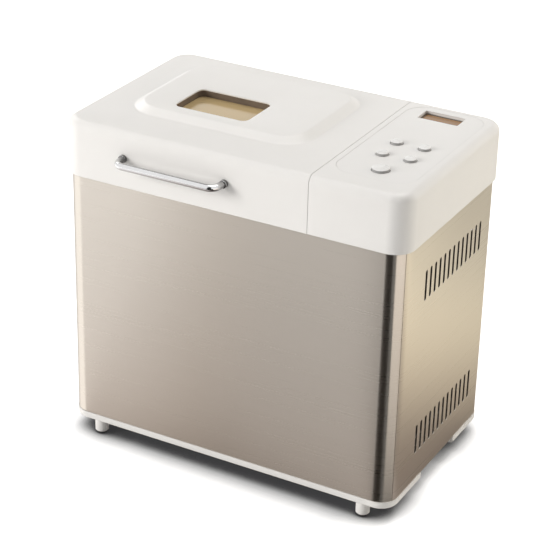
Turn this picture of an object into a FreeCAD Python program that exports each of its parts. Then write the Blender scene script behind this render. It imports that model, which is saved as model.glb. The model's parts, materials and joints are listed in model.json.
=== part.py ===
import FreeCAD, Part
import math
import os

Vector = FreeCAD.Vector

# Driving dimensions in millimetres: +X is right, +Y is back, +Z is up

# Outer body
body_width = 350.0
body_depth = 212.0
foot_height = 14.8
rim_height = 7.2
skin_height = 250.6
cap_gap = 0.7
cap_height = 54.5
cap_corner_radius = 20.0
cap_edge_radius = 8.0
cap_wall = 3.0
console_width = 94.2
lid_gap = 0.35

# Clearances
running_fit = 0.05
seated_fit = 0.02
slip_fit = 0.3
moving_gap = 0.6

# Sheet steel skin
skin_inset = 2.5
skin_sheet = 0.8
skin_seam_setback = 9.5
skin_seam_gap = 0.4

# Vent slots, in rows of one pattern
vent_count = 13
vent_pitch = 9.9
vent_width = 4.2
vent_height = 30.0
vent_row_offset = 7.3
vent_low_rise = 44.3
vent_high_rise = 202.3
back_vent_count = 9

# Base tray
rim_lip = 0.5
rim_edge_radius = 2.0
tray_floor = 2.5
tray_wall = 2.5
upstand_height = 14.0
recess_width = 73.5
recess_offset = 0.4
recess_depth = 14.0
post_radius = 6.0
post_pilot_radius = 1.6
tray_rib_height = 7.0
tray_rib_sheet = 2.0
floor_slot_count = 7
floor_slot_pitch = 11.0
floor_slot_width = 5.0
floor_slot_length = 60.0

# Feet
foot_radius = 6.6
foot_stem_radius = 3.0
foot_edge = 1.0
foot_inset_x = 32.2
foot_inset_y = 10.0
pad_radius = 5.4
pad_height = 2.0

# Deck round the oven mouth
deck_drop = 2.0
deck_sheet = 3.0
deck_wall = 2.5
deck_skirt = 12.0
deck_lip_height = 3.0
deck_lip_wall = 2.0
deck_window_width = 50.0
deck_window_depth = 120.0
deck_window_corner = 3.0

# Lid
platform_left_margin = 36.7
platform_right_margin = 33.6
platform_front_margin = 46.0
platform_back_margin = 22.0
platform_corner_radius = 32.0
platform_slope = 9.0
platform_rise = 5.5
platform_crest_round = 6.0
platform_foot_round = 5.0
window_width = 76.5
window_depth = 51.0
window_offset_x = -10.9
window_offset_y = -11.9
window_corner_radius = 7.0
window_dish = 5.5
window_dish_depth = 0.8
window_lip = 2.0
glass_sheet = 3.0
glass_margin = 5.0
gasket_height = 6.0
gasket_margin = 4.0
liner_drop = 22.0
liner_inset = 16.0
liner_sheet = 1.2
liner_rim = 12.0
liner_corner_radius = 18.0
liner_boss_radius = 4.0
liner_boss_inset = 26.0
liner_vent_count = 6
liner_vent_pitch = 8.0
liner_vent_length = 30.0
liner_vent_width = 3.0
bumper_inset = 11.0
bumper_radius = 5.0
bumper_height = 4.5

# Lid handle
handle_span = 105.0
handle_splay = 2.0
handle_offset_x = -7.5
handle_height = 28.5
handle_reach = 16.0
handle_rod_diameter = 6.6
handle_bend = 8.0
handle_screw_radius = 2.0
handle_screw_head_radius = 4.0
handle_screw_head = 2.4

# Lid hinge
hinge_setback = 6.5
hinge_drop = 4.0
hinge_knuckle_radius = 5.5
hinge_lug_width = 16.0
hinge_lug_foot = 2.0
hinge_lug_rise = 24.0
hinge_ear_width = 4.0
hinge_ear_rise = 1.0
hinge_ear_drop = 18.0
hinge_side_gap = 0.4
hinge_plate = 2.0
hinge_plate_margin = 5.0
hinge_pin_radius = 2.5
hinge_pin_head_radius = 4.0
hinge_pin_head = 1.5
hinge_spread = 165.0

# Console and controls
overlay_sheet = 0.6
overlay_sink = 0.1
overlay_left_margin = 5.9
overlay_right_margin = 11.8
overlay_front_margin = 24.0
overlay_back_margin = 11.0
overlay_corner_radius = 20.0
overlay_fit = 0.1
display_width = 40.0
display_depth = 20.0
display_offset_x = -5.4
display_back_margin = 29.6
display_corner_radius = 1.5
lens_sheet = 1.5
lens_margin = 3.0
module_margin = 4.0
small_button_radius = 5.6
small_button_left = -14.8
small_button_right = 12.2
small_button_front = -28.9
small_button_rear = 0.6
start_button_radius = 8.0
start_button_offset_x = -0.9
start_button_offset_y = -61.0
button_gap = 0.5
button_rise = 3.0
button_crown = 0.8
button_edge = 0.6
button_flange = 1.6
button_flange_sheet = 1.4
button_stem_radius = 2.2
button_travel = 1.0
button_rest_gap = 0.3
board_depth_below_top = 22.0
board_sheet = 1.6
board_side_margin = 10.85
board_front_margin = 30.0
board_back_margin = 16.0
board_corner_radius = 3.0
board_boss_radius = 3.0
board_boss_inset = 6.0
board_boss_gap = 10.4
switch_side = 6.2
switch_height = 5.0
switch_plunger_radius = 1.7
switch_plunger = 1.2
console_boss_radius = 4.0
console_boss_inset_x = 10.0
console_boss_inset_y = 8.0

# Oven chamber
oven_side_room = 16.65
oven_end_room = 17.0
oven_corner_radius = 26.0
oven_sheet = 0.8
oven_flange = 9.0
oven_floor_hole_radius = 20.0

# Heating element
element_radius = 3.25
element_height = 15.0
element_side_gap = 9.5
element_bend = 28.0
element_exit_bend = 11.0
element_exit_spacing = 34.0
element_exit_length = 11.0
element_hole_gap = 1.2
element_bracket_width = 10.0
element_bracket_sheet = 2.5
element_bracket_spread = 90.0

# Chassis, bearing and belt drive
pulley_floor_gap = 20.0
pulley_width = 12.0
pulley_radius = 45.0
pulley_flange = 2.0
pulley_flange_sheet = 1.0
pulley_rim = 4.5
pulley_web = 3.0
pulley_hub_radius = 11.0
pulley_hole_radius = 8.5
pulley_hole_count = 6
bearing_gap = 1.0
bearing_drop = 8.0
chassis_sheet = 2.0
chassis_depth = 112.0
chassis_left_reach = 66.0
chassis_right_reach = 46.0
chassis_flange = 10.0
chassis_corner_radius = 6.0
chassis_post_inset = 12.0
standoff_height = 10.0
standoff_radius = 5.0
standoff_spread_x = 100.0
standoff_spread_y = 84.0
bearing_low_radius = 11.0
bearing_flange_radius = 28.0
bearing_flange = 4.0
bearing_high_radius = 14.0
bearing_rise = 6.5
bearing_rib_count = 4
bearing_rib_sheet = 3.0
drive_shaft_radius = 5.0
drive_shaft_tail = 3.0
motor_console_offset = -8.0
motor_pulley_radius = 9.0
belt_thickness = 2.2
belt_width = 9.0
belt_gap = 0.3

# Motor
motor_mount_height = 8.0
motor_mount_radius = 6.0
motor_plate_side = 88.0
motor_plate_sheet = 2.5
motor_plate_corner = 10.0
motor_mount_inset = 9.0
motor_bell_radius = 33.0
motor_low_bell = 16.0
motor_core_side = 76.0
motor_core_corner = 9.0
motor_core_height = 40.0
motor_high_bell = 14.0
motor_bell_edge = 5.0
motor_nose_radius = 10.0
motor_nose = 5.0
motor_shaft_radius = 4.0
motor_shaft_tail = 2.0
fan_gap = 2.0
fan_height = 11.0
fan_radius = 31.0
fan_hub_radius = 8.0
fan_disc_sheet = 1.6
fan_blade_sheet = 1.8
fan_blade_count = 9
capacitor_radius = 14.0
capacitor_height = 52.0
capacitor_gap = 2.0
capacitor_offset_x = -18.0
capacitor_edge = 2.0
motor_clear_radius = 14.0

# Heat shield and power supply
shield_gap = 4.0
shield_sheet = 0.8
shield_end_inset = 11.0
shield_foot = 10.0
shield_top_gap = 6.0
supply_standoff = 6.0
supply_standoff_radius = 2.5
supply_width = 120.0
supply_height = 72.0
supply_top_gap = 14.0
supply_inset = 6.0
transformer_width = 44.0
transformer_height = 36.0
transformer_depth = 30.0
transformer_core = 14.0
transformer_offset = 28.0
relay_width = 19.0
relay_height = 15.0
relay_depth = 16.0
relay_offset = -30.0

# Pan seat and couplings
seat_reach = 6.2
seat_inner_radius = 30.0
seat_flange = 3.0
seat_wall = 3.5
seat_wall_height = 11.0
clip_width = 14.0
clip_sheet = 1.0
clip_height = 17.0
clip_foot = 8.0
clip_lean = 2.0
coupling_radius = 18.0
coupling_gap = 1.0
coupling_disc = 3.0
coupling_wing_height = 9.0
coupling_wing_angle = 50.0
coupling_wing_inner = 8.5
coupling_hub_radius = 7.5

# Bread pan
pan_side_room = 17.0
pan_end_room = 23.0
pan_taper = 7.0
pan_top_corner = 28.0
pan_sheet = 1.6
pan_height = 115.0
pan_floor_round = 6.0
pan_rim = 3.0
pan_rim_height = 3.0
pan_rib_radius = 4.0
pan_rib_height = 70.0
pan_base_height = 20.0
pan_base_margin = 2.0
pan_base_wall = 3.0
pan_base_web = 3.6
pan_base_window_width = 22.0
pan_base_window_height = 7.0
pan_base_window_count = 4
bush_radius = 7.0
bush_flange_radius = 10.0
bush_flange = 1.5
pan_shaft_radius = 4.0
pan_shaft_rise = 23.0
pan_shaft_flat = 3.1

# Pan handle
ear_width = 22.0
ear_height = 15.0
ear_drop = 4.0
ear_stand = 2.6
stud_radius = 2.5
stud_head_radius = 4.2
stud_head = 1.8
bail_fit = 0.08
bail_rod_radius = 2.5
bail_eye_radius = 5.6
bail_eye_width = 5.4
bail_side_gap = 0.4
bail_end_gap = 3.5
bail_bend = 16.0

# Kneading paddle
paddle_hub_radius = 9.0
paddle_hub_height = 25.0
paddle_room = 6.4
paddle_crest = 34.0
paddle_tip_height = 14.0
paddle_blade = 7.0
paddle_round = 2.2
paddle_fit = 0.08

# Sensor, fuse and cord gland
sensor_radius = 3.0
sensor_body_radius = 7.0
sensor_body = 9.0
sensor_tip = 6.0
sensor_height = 55.0
sensor_offset_x = 60.0
fuse_radius = 3.2
fuse_length = 22.0
fuse_clip_width = 30.0
fuse_clip_height = 12.0
fuse_clip_sheet = 1.2
fuse_height = 75.0
fuse_end_inset = 38.0
gland_bore_radius = 4.0
gland_neck_radius = 8.0
gland_flange_radius = 11.0
gland_flange = 2.4
gland_nut = 4.0
gland_rise = 28.8
gland_inset_x = 40.0

# Heights worked out from the stack
rim_z = foot_height
skin_z = rim_z + rim_height
skin_top_z = skin_z + skin_height
vent_low_z = skin_z + vent_low_rise
vent_high_z = skin_z + vent_high_rise
gland_z = skin_z + gland_rise
cap_z = skin_top_z + cap_gap
cap_top_z = cap_z + cap_height
platform_top_z = cap_top_z + platform_rise
deck_top_z = cap_z - deck_drop
deck_z = deck_top_z - deck_sheet
tray_top_z = rim_z + tray_floor
pulley_z = tray_top_z + pulley_floor_gap
pulley_top_z = pulley_z + pulley_width
bearing_z = pulley_top_z + bearing_gap
chassis_z = bearing_z + bearing_drop
chassis_top_z = chassis_z + chassis_sheet
oven_z = chassis_top_z + standoff_height
oven_floor_z = oven_z + oven_sheet
bearing_top_z = oven_floor_z + bearing_rise
seat_top_z = oven_floor_z + seat_flange
pan_base_z = seat_top_z + slip_fit
pan_z = pan_base_z + pan_base_height
pan_floor_z = pan_z + pan_sheet
pan_rim_z = pan_z + pan_height
bush_top_z = pan_floor_z + bush_flange
coupling_z = bearing_top_z + coupling_gap
coupling_disc_top_z = coupling_z + coupling_disc
upper_coupling_z = coupling_disc_top_z + coupling_gap
pan_web_z = pan_z - pan_base_web
paddle_z = bush_top_z + slip_fit
bail_z = pan_rim_z - pan_rim_height - ear_drop - ear_height / 2
element_z = oven_floor_z + element_height
motor_z = chassis_top_z + motor_mount_height
motor_core_z = motor_z + motor_plate_sheet + motor_low_bell
motor_high_z = motor_core_z + motor_core_height
motor_nose_z = motor_high_z + motor_high_bell
fan_z = motor_nose_z + motor_nose + fan_gap
gasket_top_z = platform_top_z - window_lip
glass_top_z = gasket_top_z - gasket_height
glass_z = glass_top_z - glass_sheet
liner_z = cap_top_z - liner_drop
board_z = cap_top_z - board_depth_below_top
board_top_z = board_z + board_sheet
switch_top_z = board_top_z + switch_height + switch_plunger
console_ceiling_z = cap_top_z - cap_wall

# Plan positions worked out from the body
handle_front = handle_reach + handle_rod_diameter / 2
hinge_rear = hinge_setback + hinge_knuckle_radius
mid_y = (handle_front - hinge_rear) / 2
front_y = mid_y - body_depth / 2
back_y = mid_y + body_depth / 2
half_width = body_width / 2
seam_x = half_width - console_width
lid_right_x = seam_x - lid_gap / 2
console_left_x = seam_x + lid_gap / 2
lid_x = (lid_right_x - half_width) / 2
lid_inner_width = lid_right_x + half_width - 2 * cap_wall
lid_inner_depth = body_depth - 2 * cap_wall
console_x = (console_left_x + half_width) / 2
skin_width = body_width - 2 * skin_inset
skin_depth = body_depth - 2 * skin_inset
skin_corner_radius = cap_corner_radius - skin_inset
skin_front_y = front_y + skin_inset
skin_back_y = back_y - skin_inset
inner_width = skin_width - 2 * skin_sheet - 2 * slip_fit
inner_depth = skin_depth - 2 * skin_sheet - 2 * slip_fit
inner_corner_radius = skin_corner_radius - skin_sheet - slip_fit
oven_x = lid_x
oven_width = lid_inner_width - 2 * oven_side_room
oven_depth = lid_inner_depth - 2 * oven_end_room
oven_right_x = oven_x + oven_width / 2
motor_x = console_x + motor_console_offset
shield_x = oven_right_x + shield_gap
hinge_y = back_y + hinge_setback
hinge_z = cap_z - hinge_drop
hinge_places = (lid_x - hinge_spread / 2, lid_x + hinge_spread / 2)
handle_x = lid_x + handle_offset_x
handle_z = cap_z + handle_height
platform_width = lid_right_x + half_width - platform_left_margin - platform_right_margin
platform_depth = body_depth - platform_front_margin - platform_back_margin
platform_x = lid_x + (platform_left_margin - platform_right_margin) / 2
platform_y = mid_y + (platform_front_margin - platform_back_margin) / 2
window_x = lid_x + window_offset_x
window_y = mid_y + window_offset_y
chassis_left_x = oven_x - chassis_left_reach
chassis_right_x = motor_x + chassis_right_reach
chassis_x = (chassis_left_x + chassis_right_x) / 2
chassis_width = chassis_right_x - chassis_left_x
pan_top_width = oven_width - 2 * pan_side_room
pan_top_depth = oven_depth - 2 * pan_end_room
pan_bottom_width = pan_top_width - 2 * pan_taper
pan_bottom_depth = pan_top_depth - 2 * pan_taper
pan_base_radius = pan_bottom_depth / 2 - pan_base_margin
paddle_reach = pan_bottom_depth / 2 - pan_sheet - pan_rib_radius - paddle_room
display_x = console_x + display_offset_x
display_y = back_y - display_back_margin
bail_length = pan_top_depth / 2 + pan_rim + bail_end_gap + bail_rod_radius
bail_arm_x = pan_top_width / 2 + pan_rim + bail_side_gap + bail_eye_width / 2
ear_face_x = bail_arm_x - bail_eye_width / 2 - bail_side_gap
far = 2 * (body_width + body_depth + cap_top_z)


# Shape helpers

def rounded_outline(width, depth, radius, x, y, z):
    """Closed wire of a level rectangle with four round corners, centred on x, y."""
    along = width / 2 - radius
    across = depth / 2 - radius
    corners = [(along, across), (-along, across), (-along, -across), (along, -across)]
    arcs = []
    for turn, (corner_x, corner_y) in enumerate(corners):
        points = []
        for step in range(3):
            angle = math.radians(90 * turn + 45 * step)
            point_x = x + corner_x + radius * math.cos(angle)
            point_y = y + corner_y + radius * math.sin(angle)
            points.append(Vector(point_x, point_y, z))
        arcs.append(points)
    edges = []
    for points, following in zip(arcs, arcs[1:] + arcs[:1]):
        edges.append(Part.Arc(*points).toShape())
        edges.append(Part.LineSegment(points[-1], following[0]).toShape())
    return Part.Wire(edges)


def rounded_block(width, depth, height, radius, x, y, z):
    """Upright prism of a rounded rectangle."""
    outline = rounded_outline(width, depth, radius, x, y, z)
    return Part.Face(outline).extrude(Vector(0, 0, height))


def rounded_frame(width, depth, height, radius, wall, x, y, z):
    """Upright rounded wall, open through the middle."""
    outer = rounded_block(width, depth, height, radius, x, y, z)
    inner = rounded_block(width - 2 * wall, depth - 2 * wall, height, radius - wall, x, y, z)
    return outer.cut(inner)


def tapered_block(width, depth, height, low_radius, draw, x, y, z):
    """Upright block with round corners whose four sides lean in by one draw over its height."""
    along = width / 2 - low_radius
    across = depth / 2 - low_radius
    high_radius = low_radius - draw
    pieces = []
    for side in (-1, 1):
        for end in (-1, 1):
            corner = Vector(x + side * along, y + end * across, z)
            pieces.append(Part.makeCone(low_radius, high_radius, height, corner))
    profile = [(-low_radius, z), (low_radius, z), (high_radius, z + height), (-high_radius, z + height)]
    for half, run, turned_to_y in ((across, along, False), (along, across, True)):
        points = []
        for reach, level in profile:
            offset = math.copysign(half, reach) + reach
            start = Vector(x + offset, y - run, level) if turned_to_y else Vector(x - run, y + offset, level)
            points.append(start)
        face = Part.Face(Part.makePolygon(points + points[:1]))
        pieces.append(face.extrude(Vector(0, 2 * run, 0) if turned_to_y else Vector(2 * run, 0, 0)))
    return merged(pieces)


def slab(low_x, high_x, low_y, high_y, low_z, high_z):
    """Box between two opposite corners."""
    corner = Vector(low_x, low_y, low_z)
    return Part.makeBox(high_x - low_x, high_y - low_y, high_z - low_z, corner)


def disc(radius, height, x, y, z):
    """Upright cylinder standing on z."""
    return Part.makeCylinder(radius, height, Vector(x, y, z))


def ring(outer, inner, height, x, y, z):
    """Upright tube standing on z."""
    return disc(outer, height, x, y, z).cut(disc(inner, height, x, y, z))


def bar_x(radius, low_x, high_x, y, z):
    """Cylinder along X."""
    return Part.makeCylinder(radius, high_x - low_x, Vector(low_x, y, z), Vector(1, 0, 0))


def bar_y(radius, low_y, high_y, x, z):
    """Cylinder along Y."""
    return Part.makeCylinder(radius, high_y - low_y, Vector(x, low_y, z), Vector(0, 1, 0))


def turned(profile, x, y):
    """Solid of revolution about the upright axis through x, y, from radius and height pairs."""
    points = [Vector(radius, 0, height) for radius, height in profile]
    face = Part.Face(Part.makePolygon(points + points[:1]))
    solid = face.revolve(Vector(0, 0, 0), Vector(0, 0, 1), 360)
    solid.translate(Vector(x, y, 0))
    return solid


def merged(shapes):
    """One solid from shapes that touch or overlap."""
    return shapes[0].multiFuse(shapes[1:]).removeSplitter()


def edges_at_height(shape, height):
    """Edges of a shape that lie level at one height."""
    level = []
    for edge in shape.Edges:
        box = edge.BoundBox
        if abs(box.ZMin - height) < seated_fit and abs(box.ZMax - height) < seated_fit:
            level.append(edge)
    return level


def slot(width, height, centre, across, through):
    """Upright slot with round ends, cut along the vector through."""
    rise = Vector(0, 0, (height - width) / 2)
    tip = Vector(0, 0, height / 2)
    side = across * (width / 2)
    edges = [
        Part.LineSegment(centre + side - rise, centre + side + rise).toShape(),
        Part.Arc(centre + side + rise, centre + tip, centre - side + rise).toShape(),
        Part.LineSegment(centre - side + rise, centre - side - rise).toShape(),
        Part.Arc(centre - side - rise, centre - tip, centre + side - rise).toShape(),
    ]
    return Part.Face(Part.Wire(edges)).extrude(through)


def bent_rod(points, bends, radius):
    """Round rod of straight runs, with an arc of its own radius at each corner."""
    pieces = []
    start = points[0]
    for before, corner, after, bend in zip(points, points[1:], points[2:], bends):
        back = (before - corner).normalize()
        ahead = (after - corner).normalize()
        half = back.getAngle(ahead) / 2
        entry = corner + back * (bend / math.tan(half))
        pieces.append(Part.makeCylinder(radius, (entry - start).Length, start, entry - start))
        pivot = corner + (back + ahead).normalize() * (bend / math.sin(half))
        section = Part.Face(Part.Wire([Part.makeCircle(radius, entry, back)]))
        pieces.append(section.revolve(pivot, ahead.cross(back), 180 - math.degrees(2 * half)))
        start = corner + ahead * (bend / math.tan(half))
    pieces.append(Part.makeCylinder(radius, (points[-1] - start).Length, start, points[-1] - start))
    return merged(pieces)


def knuckle(low_x, high_x, radius, foot_y, foot_low_z, foot_high_z):
    """Hinge arm: a round eye about the hinge axis, with straight sides to an upright foot."""
    tangents = []
    for height, turn in ((foot_low_z, 1), (foot_high_z, -1)):
        offset_y = foot_y - hinge_y
        offset_z = height - hinge_z
        spread = math.acos(radius / math.hypot(offset_y, offset_z))
        angle = math.atan2(offset_z, offset_y) + turn * spread
        tangent_y = hinge_y + radius * math.cos(angle)
        tangent_z = hinge_z + radius * math.sin(angle)
        tangents.append(Vector(low_x, tangent_y, tangent_z))
    low_foot = Vector(low_x, foot_y, foot_low_z)
    high_foot = Vector(low_x, foot_y, foot_high_z)
    outline = Part.makePolygon([low_foot, high_foot, tangents[1], tangents[0], low_foot])
    arm = Part.Face(outline).extrude(Vector(high_x - low_x, 0, 0))
    return arm.fuse(bar_x(radius, low_x, high_x, hinge_y, hinge_z)).removeSplitter()


# Base, feet and skin

def foot_places():
    """Centres of the four feet."""
    places = []
    for side in (-1, 1):
        for end in (-1, 1):
            x = side * (half_width - foot_inset_x)
            y = mid_y + end * (body_depth / 2 - foot_inset_y)
            places.append((x, y))
    return places


def post_places():
    """Centres of the four posts that carry the chassis plate."""
    places = []
    for x in (chassis_left_x + chassis_post_inset, chassis_right_x - chassis_post_inset):
        for end in (-1, 1):
            places.append((x, mid_y + end * (chassis_depth / 2 - chassis_post_inset)))
    return places


def base_tray():
    """Moulded tray: rim under the skin, upstand inside it, finger recesses, posts and floor slots."""
    rim_width = skin_width + 2 * rim_lip
    rim_depth = skin_depth + 2 * rim_lip
    rim = rounded_block(rim_width, rim_depth, rim_height, skin_corner_radius + rim_lip, 0, mid_y, rim_z)
    rim = rim.makeFillet(rim_edge_radius, edges_at_height(rim, rim_z))
    upstand = rounded_block(inner_width, inner_depth, upstand_height, inner_corner_radius, 0, mid_y, skin_z)
    hollow_width = inner_width - 2 * tray_wall
    hollow_depth = inner_depth - 2 * tray_wall
    hollow_corner = inner_corner_radius - tray_wall
    hollow_height = rim_height + upstand_height
    hollow = rounded_block(hollow_width, hollow_depth, hollow_height, hollow_corner, 0, mid_y, tray_top_z)
    tray = rim.fuse(upstand).cut(hollow)
    recess_low_y = mid_y + recess_offset - recess_width / 2
    recess_high_y = mid_y + recess_offset + recess_width / 2
    pocket_x = rim_width / 2 - recess_depth
    for side in (-1, 1):
        wall_span = sorted((side * (pocket_x - tray_wall), side * (inner_width / 2)))
        pocket_span = sorted((side * pocket_x, side * (rim_width / 2 + rim_lip)))
        wall_ends = (recess_low_y - tray_wall, recess_high_y + tray_wall)
        wall = slab(*wall_span, *wall_ends, rim_z, skin_z + tray_wall)
        pocket = slab(*pocket_span, recess_low_y, recess_high_y, 0, skin_z)
        tray = tray.fuse(wall).cut(pocket)
    posts = [disc(post_radius, chassis_z - rim_z, x, y, rim_z) for x, y in post_places()]
    ribs = []
    for x, y in post_places():
        reach = 2 * post_radius
        half_rib = tray_rib_sheet / 2
        rib_top_z = tray_top_z + tray_rib_height
        ribs.append(slab(x - reach, x + reach, y - half_rib, y + half_rib, rim_z, rib_top_z))
        ribs.append(slab(x - half_rib, x + half_rib, y - reach, y + reach, rim_z, rib_top_z))
    tray = merged([tray] + posts + ribs)
    holes = [disc(post_pilot_radius, chassis_z, x, y, tray_top_z) for x, y in post_places()]
    holes += [disc(foot_stem_radius + seated_fit, tray_top_z, x, y, 0) for x, y in foot_places()]
    middle = (floor_slot_count - 1) / 2
    for number in range(floor_slot_count):
        y = mid_y + (number - middle) * floor_slot_pitch
        low_x = motor_x - floor_slot_length / 2
        high_x = motor_x + floor_slot_length / 2
        holes.append(slab(low_x, high_x, y - floor_slot_width / 2, y + floor_slot_width / 2, 0, tray_top_z))
    return tray.cut(Part.makeCompound(holes))


def feet():
    """Four short feet, each with a stem in the tray floor."""
    profile = [
        (0, pad_height),
        (foot_radius - foot_edge, pad_height),
        (foot_radius, pad_height + foot_edge),
        (foot_radius, rim_z),
        (foot_stem_radius, rim_z),
        (foot_stem_radius, tray_top_z),
        (0, tray_top_z),
    ]
    return Part.makeCompound([turned(profile, x, y) for x, y in foot_places()])


def foot_pads():
    """Rubber discs under the feet."""
    profile = [
        (0, 0),
        (pad_radius - foot_edge / 2, 0),
        (pad_radius, foot_edge / 2),
        (pad_radius, pad_height),
        (0, pad_height),
    ]
    return Part.makeCompound([turned(profile, x, y) for x, y in foot_places()])


def skin_between(low_y, high_y):
    """Stretch of the steel wall between two seams across the depth."""
    corner = skin_corner_radius
    wall = rounded_frame(skin_width, skin_depth, skin_height, corner, skin_sheet, 0, mid_y, skin_z)
    return wall.common(slab(-far, far, low_y, high_y, 0, far))


def vent_row(count, centre, step, across, through, height):
    """Row of upright slots about a centre."""
    slots = []
    for number in range(count):
        place = centre + step * (number - (count - 1) / 2)
        slots.append(slot(vent_width, height, place, across, through))
    return slots


def front_panel():
    """Steel front that wraps round both front corners."""
    return skin_between(front_y, skin_front_y + skin_seam_setback - skin_seam_gap / 2)


def side_panel(side):
    """Steel side sheet with two rows of vent slots."""
    low_y = skin_front_y + skin_seam_setback + skin_seam_gap / 2
    high_y = skin_back_y - skin_seam_setback - skin_seam_gap / 2
    sheet = skin_between(low_y, high_y).common(slab(*sorted((0, side * far)), -far, far, 0, far))
    slots = []
    for height in (vent_low_z, vent_high_z):
        start = Vector(side * (skin_width / 2 - 2 * skin_sheet), mid_y + vent_row_offset, height)
        step = Vector(0, vent_pitch, 0)
        through = Vector(side * 3 * skin_sheet, 0, 0)
        slots += vent_row(vent_count, start, step, Vector(0, 1, 0), through, vent_height)
    return sheet.cut(Part.makeCompound(slots)).Solids[0]


def right_side_panel():
    """Side sheet under the console."""
    return side_panel(1)


def left_side_panel():
    """Side sheet under the lid."""
    return side_panel(-1)


def back_panel():
    """Steel back that wraps round both rear corners, with a vent row and the cord gland's hole."""
    sheet = skin_between(skin_back_y - skin_seam_setback + skin_seam_gap / 2, back_y)
    centre = Vector(motor_x - gland_neck_radius, skin_back_y - 2 * skin_sheet, vent_high_z)
    through = Vector(0, 3 * skin_sheet, 0)
    slots = vent_row(back_vent_count, centre, Vector(vent_pitch, 0, 0), Vector(1, 0, 0), through, vent_height)
    hole_radius = gland_neck_radius + seated_fit
    gland_x = half_width - gland_inset_x
    gland_hole = bar_y(hole_radius, skin_back_y - 2 * skin_sheet, back_y, gland_x, gland_z)
    return sheet.cut(Part.makeCompound(slots + [gland_hole]))


def cord_gland():
    """Flanged bush in the back panel, clamped by a nut inside."""
    x = half_width - gland_inset_x
    inside_y = skin_back_y - skin_sheet
    neck = bar_y(gland_neck_radius, inside_y, skin_back_y, x, gland_z)
    flange = bar_y(gland_flange_radius, skin_back_y, skin_back_y + gland_flange, x, gland_z)
    nut = bar_y(gland_flange_radius, inside_y - gland_nut, inside_y, x, gland_z)
    bore = bar_y(gland_bore_radius, inside_y - far, skin_back_y + far, x, gland_z)
    return merged([neck, flange, nut]).cut(bore)


# White cap: one rounded block split into lid and console

def cap_block():
    """Outer form that lid and console share."""
    block = rounded_block(body_width, body_depth, cap_height, cap_corner_radius, 0, mid_y, cap_z)
    return block.makeFillet(cap_edge_radius, edges_at_height(block, cap_top_z))


def cap_hollow():
    """Inner form that lid and console share."""
    width = body_width - 2 * cap_wall
    depth = body_depth - 2 * cap_wall
    block = rounded_block(width, depth, cap_height - cap_wall, cap_corner_radius - cap_wall, 0, mid_y, cap_z)
    return block.makeFillet(cap_edge_radius / 2, edges_at_height(block, console_ceiling_z))


def platform_block(inset, drop):
    """Raised field of the lid with sloping sides."""
    width = platform_width - 2 * inset
    depth = platform_depth - 2 * inset
    corner = platform_corner_radius - inset
    low_z = cap_top_z - drop
    return tapered_block(width, depth, platform_rise, corner, platform_slope, platform_x, platform_y, low_z)


def lid_bumper_places():
    """Centres of the bumpers at the two front corners under the lid."""
    y = front_y + cap_wall + bumper_inset
    left = -half_width + cap_wall + bumper_inset
    right = lid_right_x - cap_wall - bumper_inset
    return [(left, y), (right, y)]


def lid_boss_places():
    """Centres of the four bosses that carry the liner."""
    places = []
    for side in (-1, 1):
        for end in (-1, 1):
            x = lid_x + side * (lid_inner_width / 2 - liner_boss_inset)
            y = mid_y + end * (lid_inner_depth / 2 - liner_boss_inset)
            places.append((x, y))
    return places


def lid_top():
    """Skin of the lid with the platform blended into it."""
    outer = cap_block().common(slab(-far, lid_right_x, -far, far, 0, far))
    block = platform_block(0, 0)
    block = block.makeFillet(platform_crest_round, edges_at_height(block, platform_top_z))
    top = outer.fuse(block).removeSplitter()
    reach = platform_width / 2 + platform_foot_round
    foot_edges = []
    for edge in edges_at_height(top, cap_top_z):
        centre = edge.BoundBox.Center
        inside_x = abs(centre.x - platform_x) < reach
        inside_y = abs(centre.y - platform_y) < platform_depth / 2 + platform_foot_round
        if inside_x and inside_y:
            foot_edges.append(edge)
    return top.makeFillet(platform_foot_round, foot_edges)


def gasket_block(margin, low_z):
    """Outer form of the window seal, up to the lip of the opening."""
    width = window_width + 2 * gasket_margin + 2 * margin
    depth = window_depth + 2 * gasket_margin + 2 * margin
    corner = window_corner_radius + gasket_margin + margin
    return rounded_block(width, depth, gasket_top_z - low_z, corner, window_x, window_y, low_z)


def lid_shell():
    """Moulded lid: skirts, platform, dished window opening, bosses, stops and hinge lugs."""
    hollow = cap_hollow().common(slab(-far, lid_right_x - cap_wall, -far, far, 0, far))
    shell = lid_top().cut(hollow).cut(platform_block(cap_wall, cap_wall))
    additions = []
    for x, y in lid_boss_places():
        low_z = liner_z + liner_sheet
        additions.append(disc(liner_boss_radius, console_ceiling_z + cap_wall / 2 - low_z, x, y, low_z))
    for x, y in lid_bumper_places():
        low_z = deck_top_z + bumper_height + slip_fit
        additions.append(disc(bumper_radius, console_ceiling_z + cap_wall / 2 - low_z, x, y, low_z))
    for x in hinge_places:
        half = hinge_lug_width / 2
        foot_low_z = cap_z + hinge_lug_foot
        foot_high_z = foot_low_z + hinge_lug_rise
        foot_y = back_y - cap_wall / 2
        additions.append(knuckle(x - half, x + half, hinge_knuckle_radius, foot_y, foot_low_z, foot_high_z))
    shell = merged([shell] + additions)
    window = (window_width, window_depth)
    dish_place = (window_x, window_y, platform_top_z - window_dish_depth)
    cuts = [
        rounded_block(*window, far, window_corner_radius, window_x, window_y, glass_z),
        tapered_block(*window, window_dish_depth, window_corner_radius, -window_dish, *dish_place),
        gasket_block(slip_fit, glass_top_z),
    ]
    for x in hinge_places:
        bore = hinge_pin_radius + running_fit
        cuts.append(bar_x(bore, x - hinge_lug_width, x + hinge_lug_width, hinge_y, hinge_z))
    for side in (-1, 1):
        hole_radius = handle_screw_radius + slip_fit
        x = handle_x + side * handle_span / 2
        cuts.append(bar_y(hole_radius, front_y - cap_wall, front_y + 2 * cap_wall, x, handle_z))
    return shell.cut(Part.makeCompound(cuts))


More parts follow.
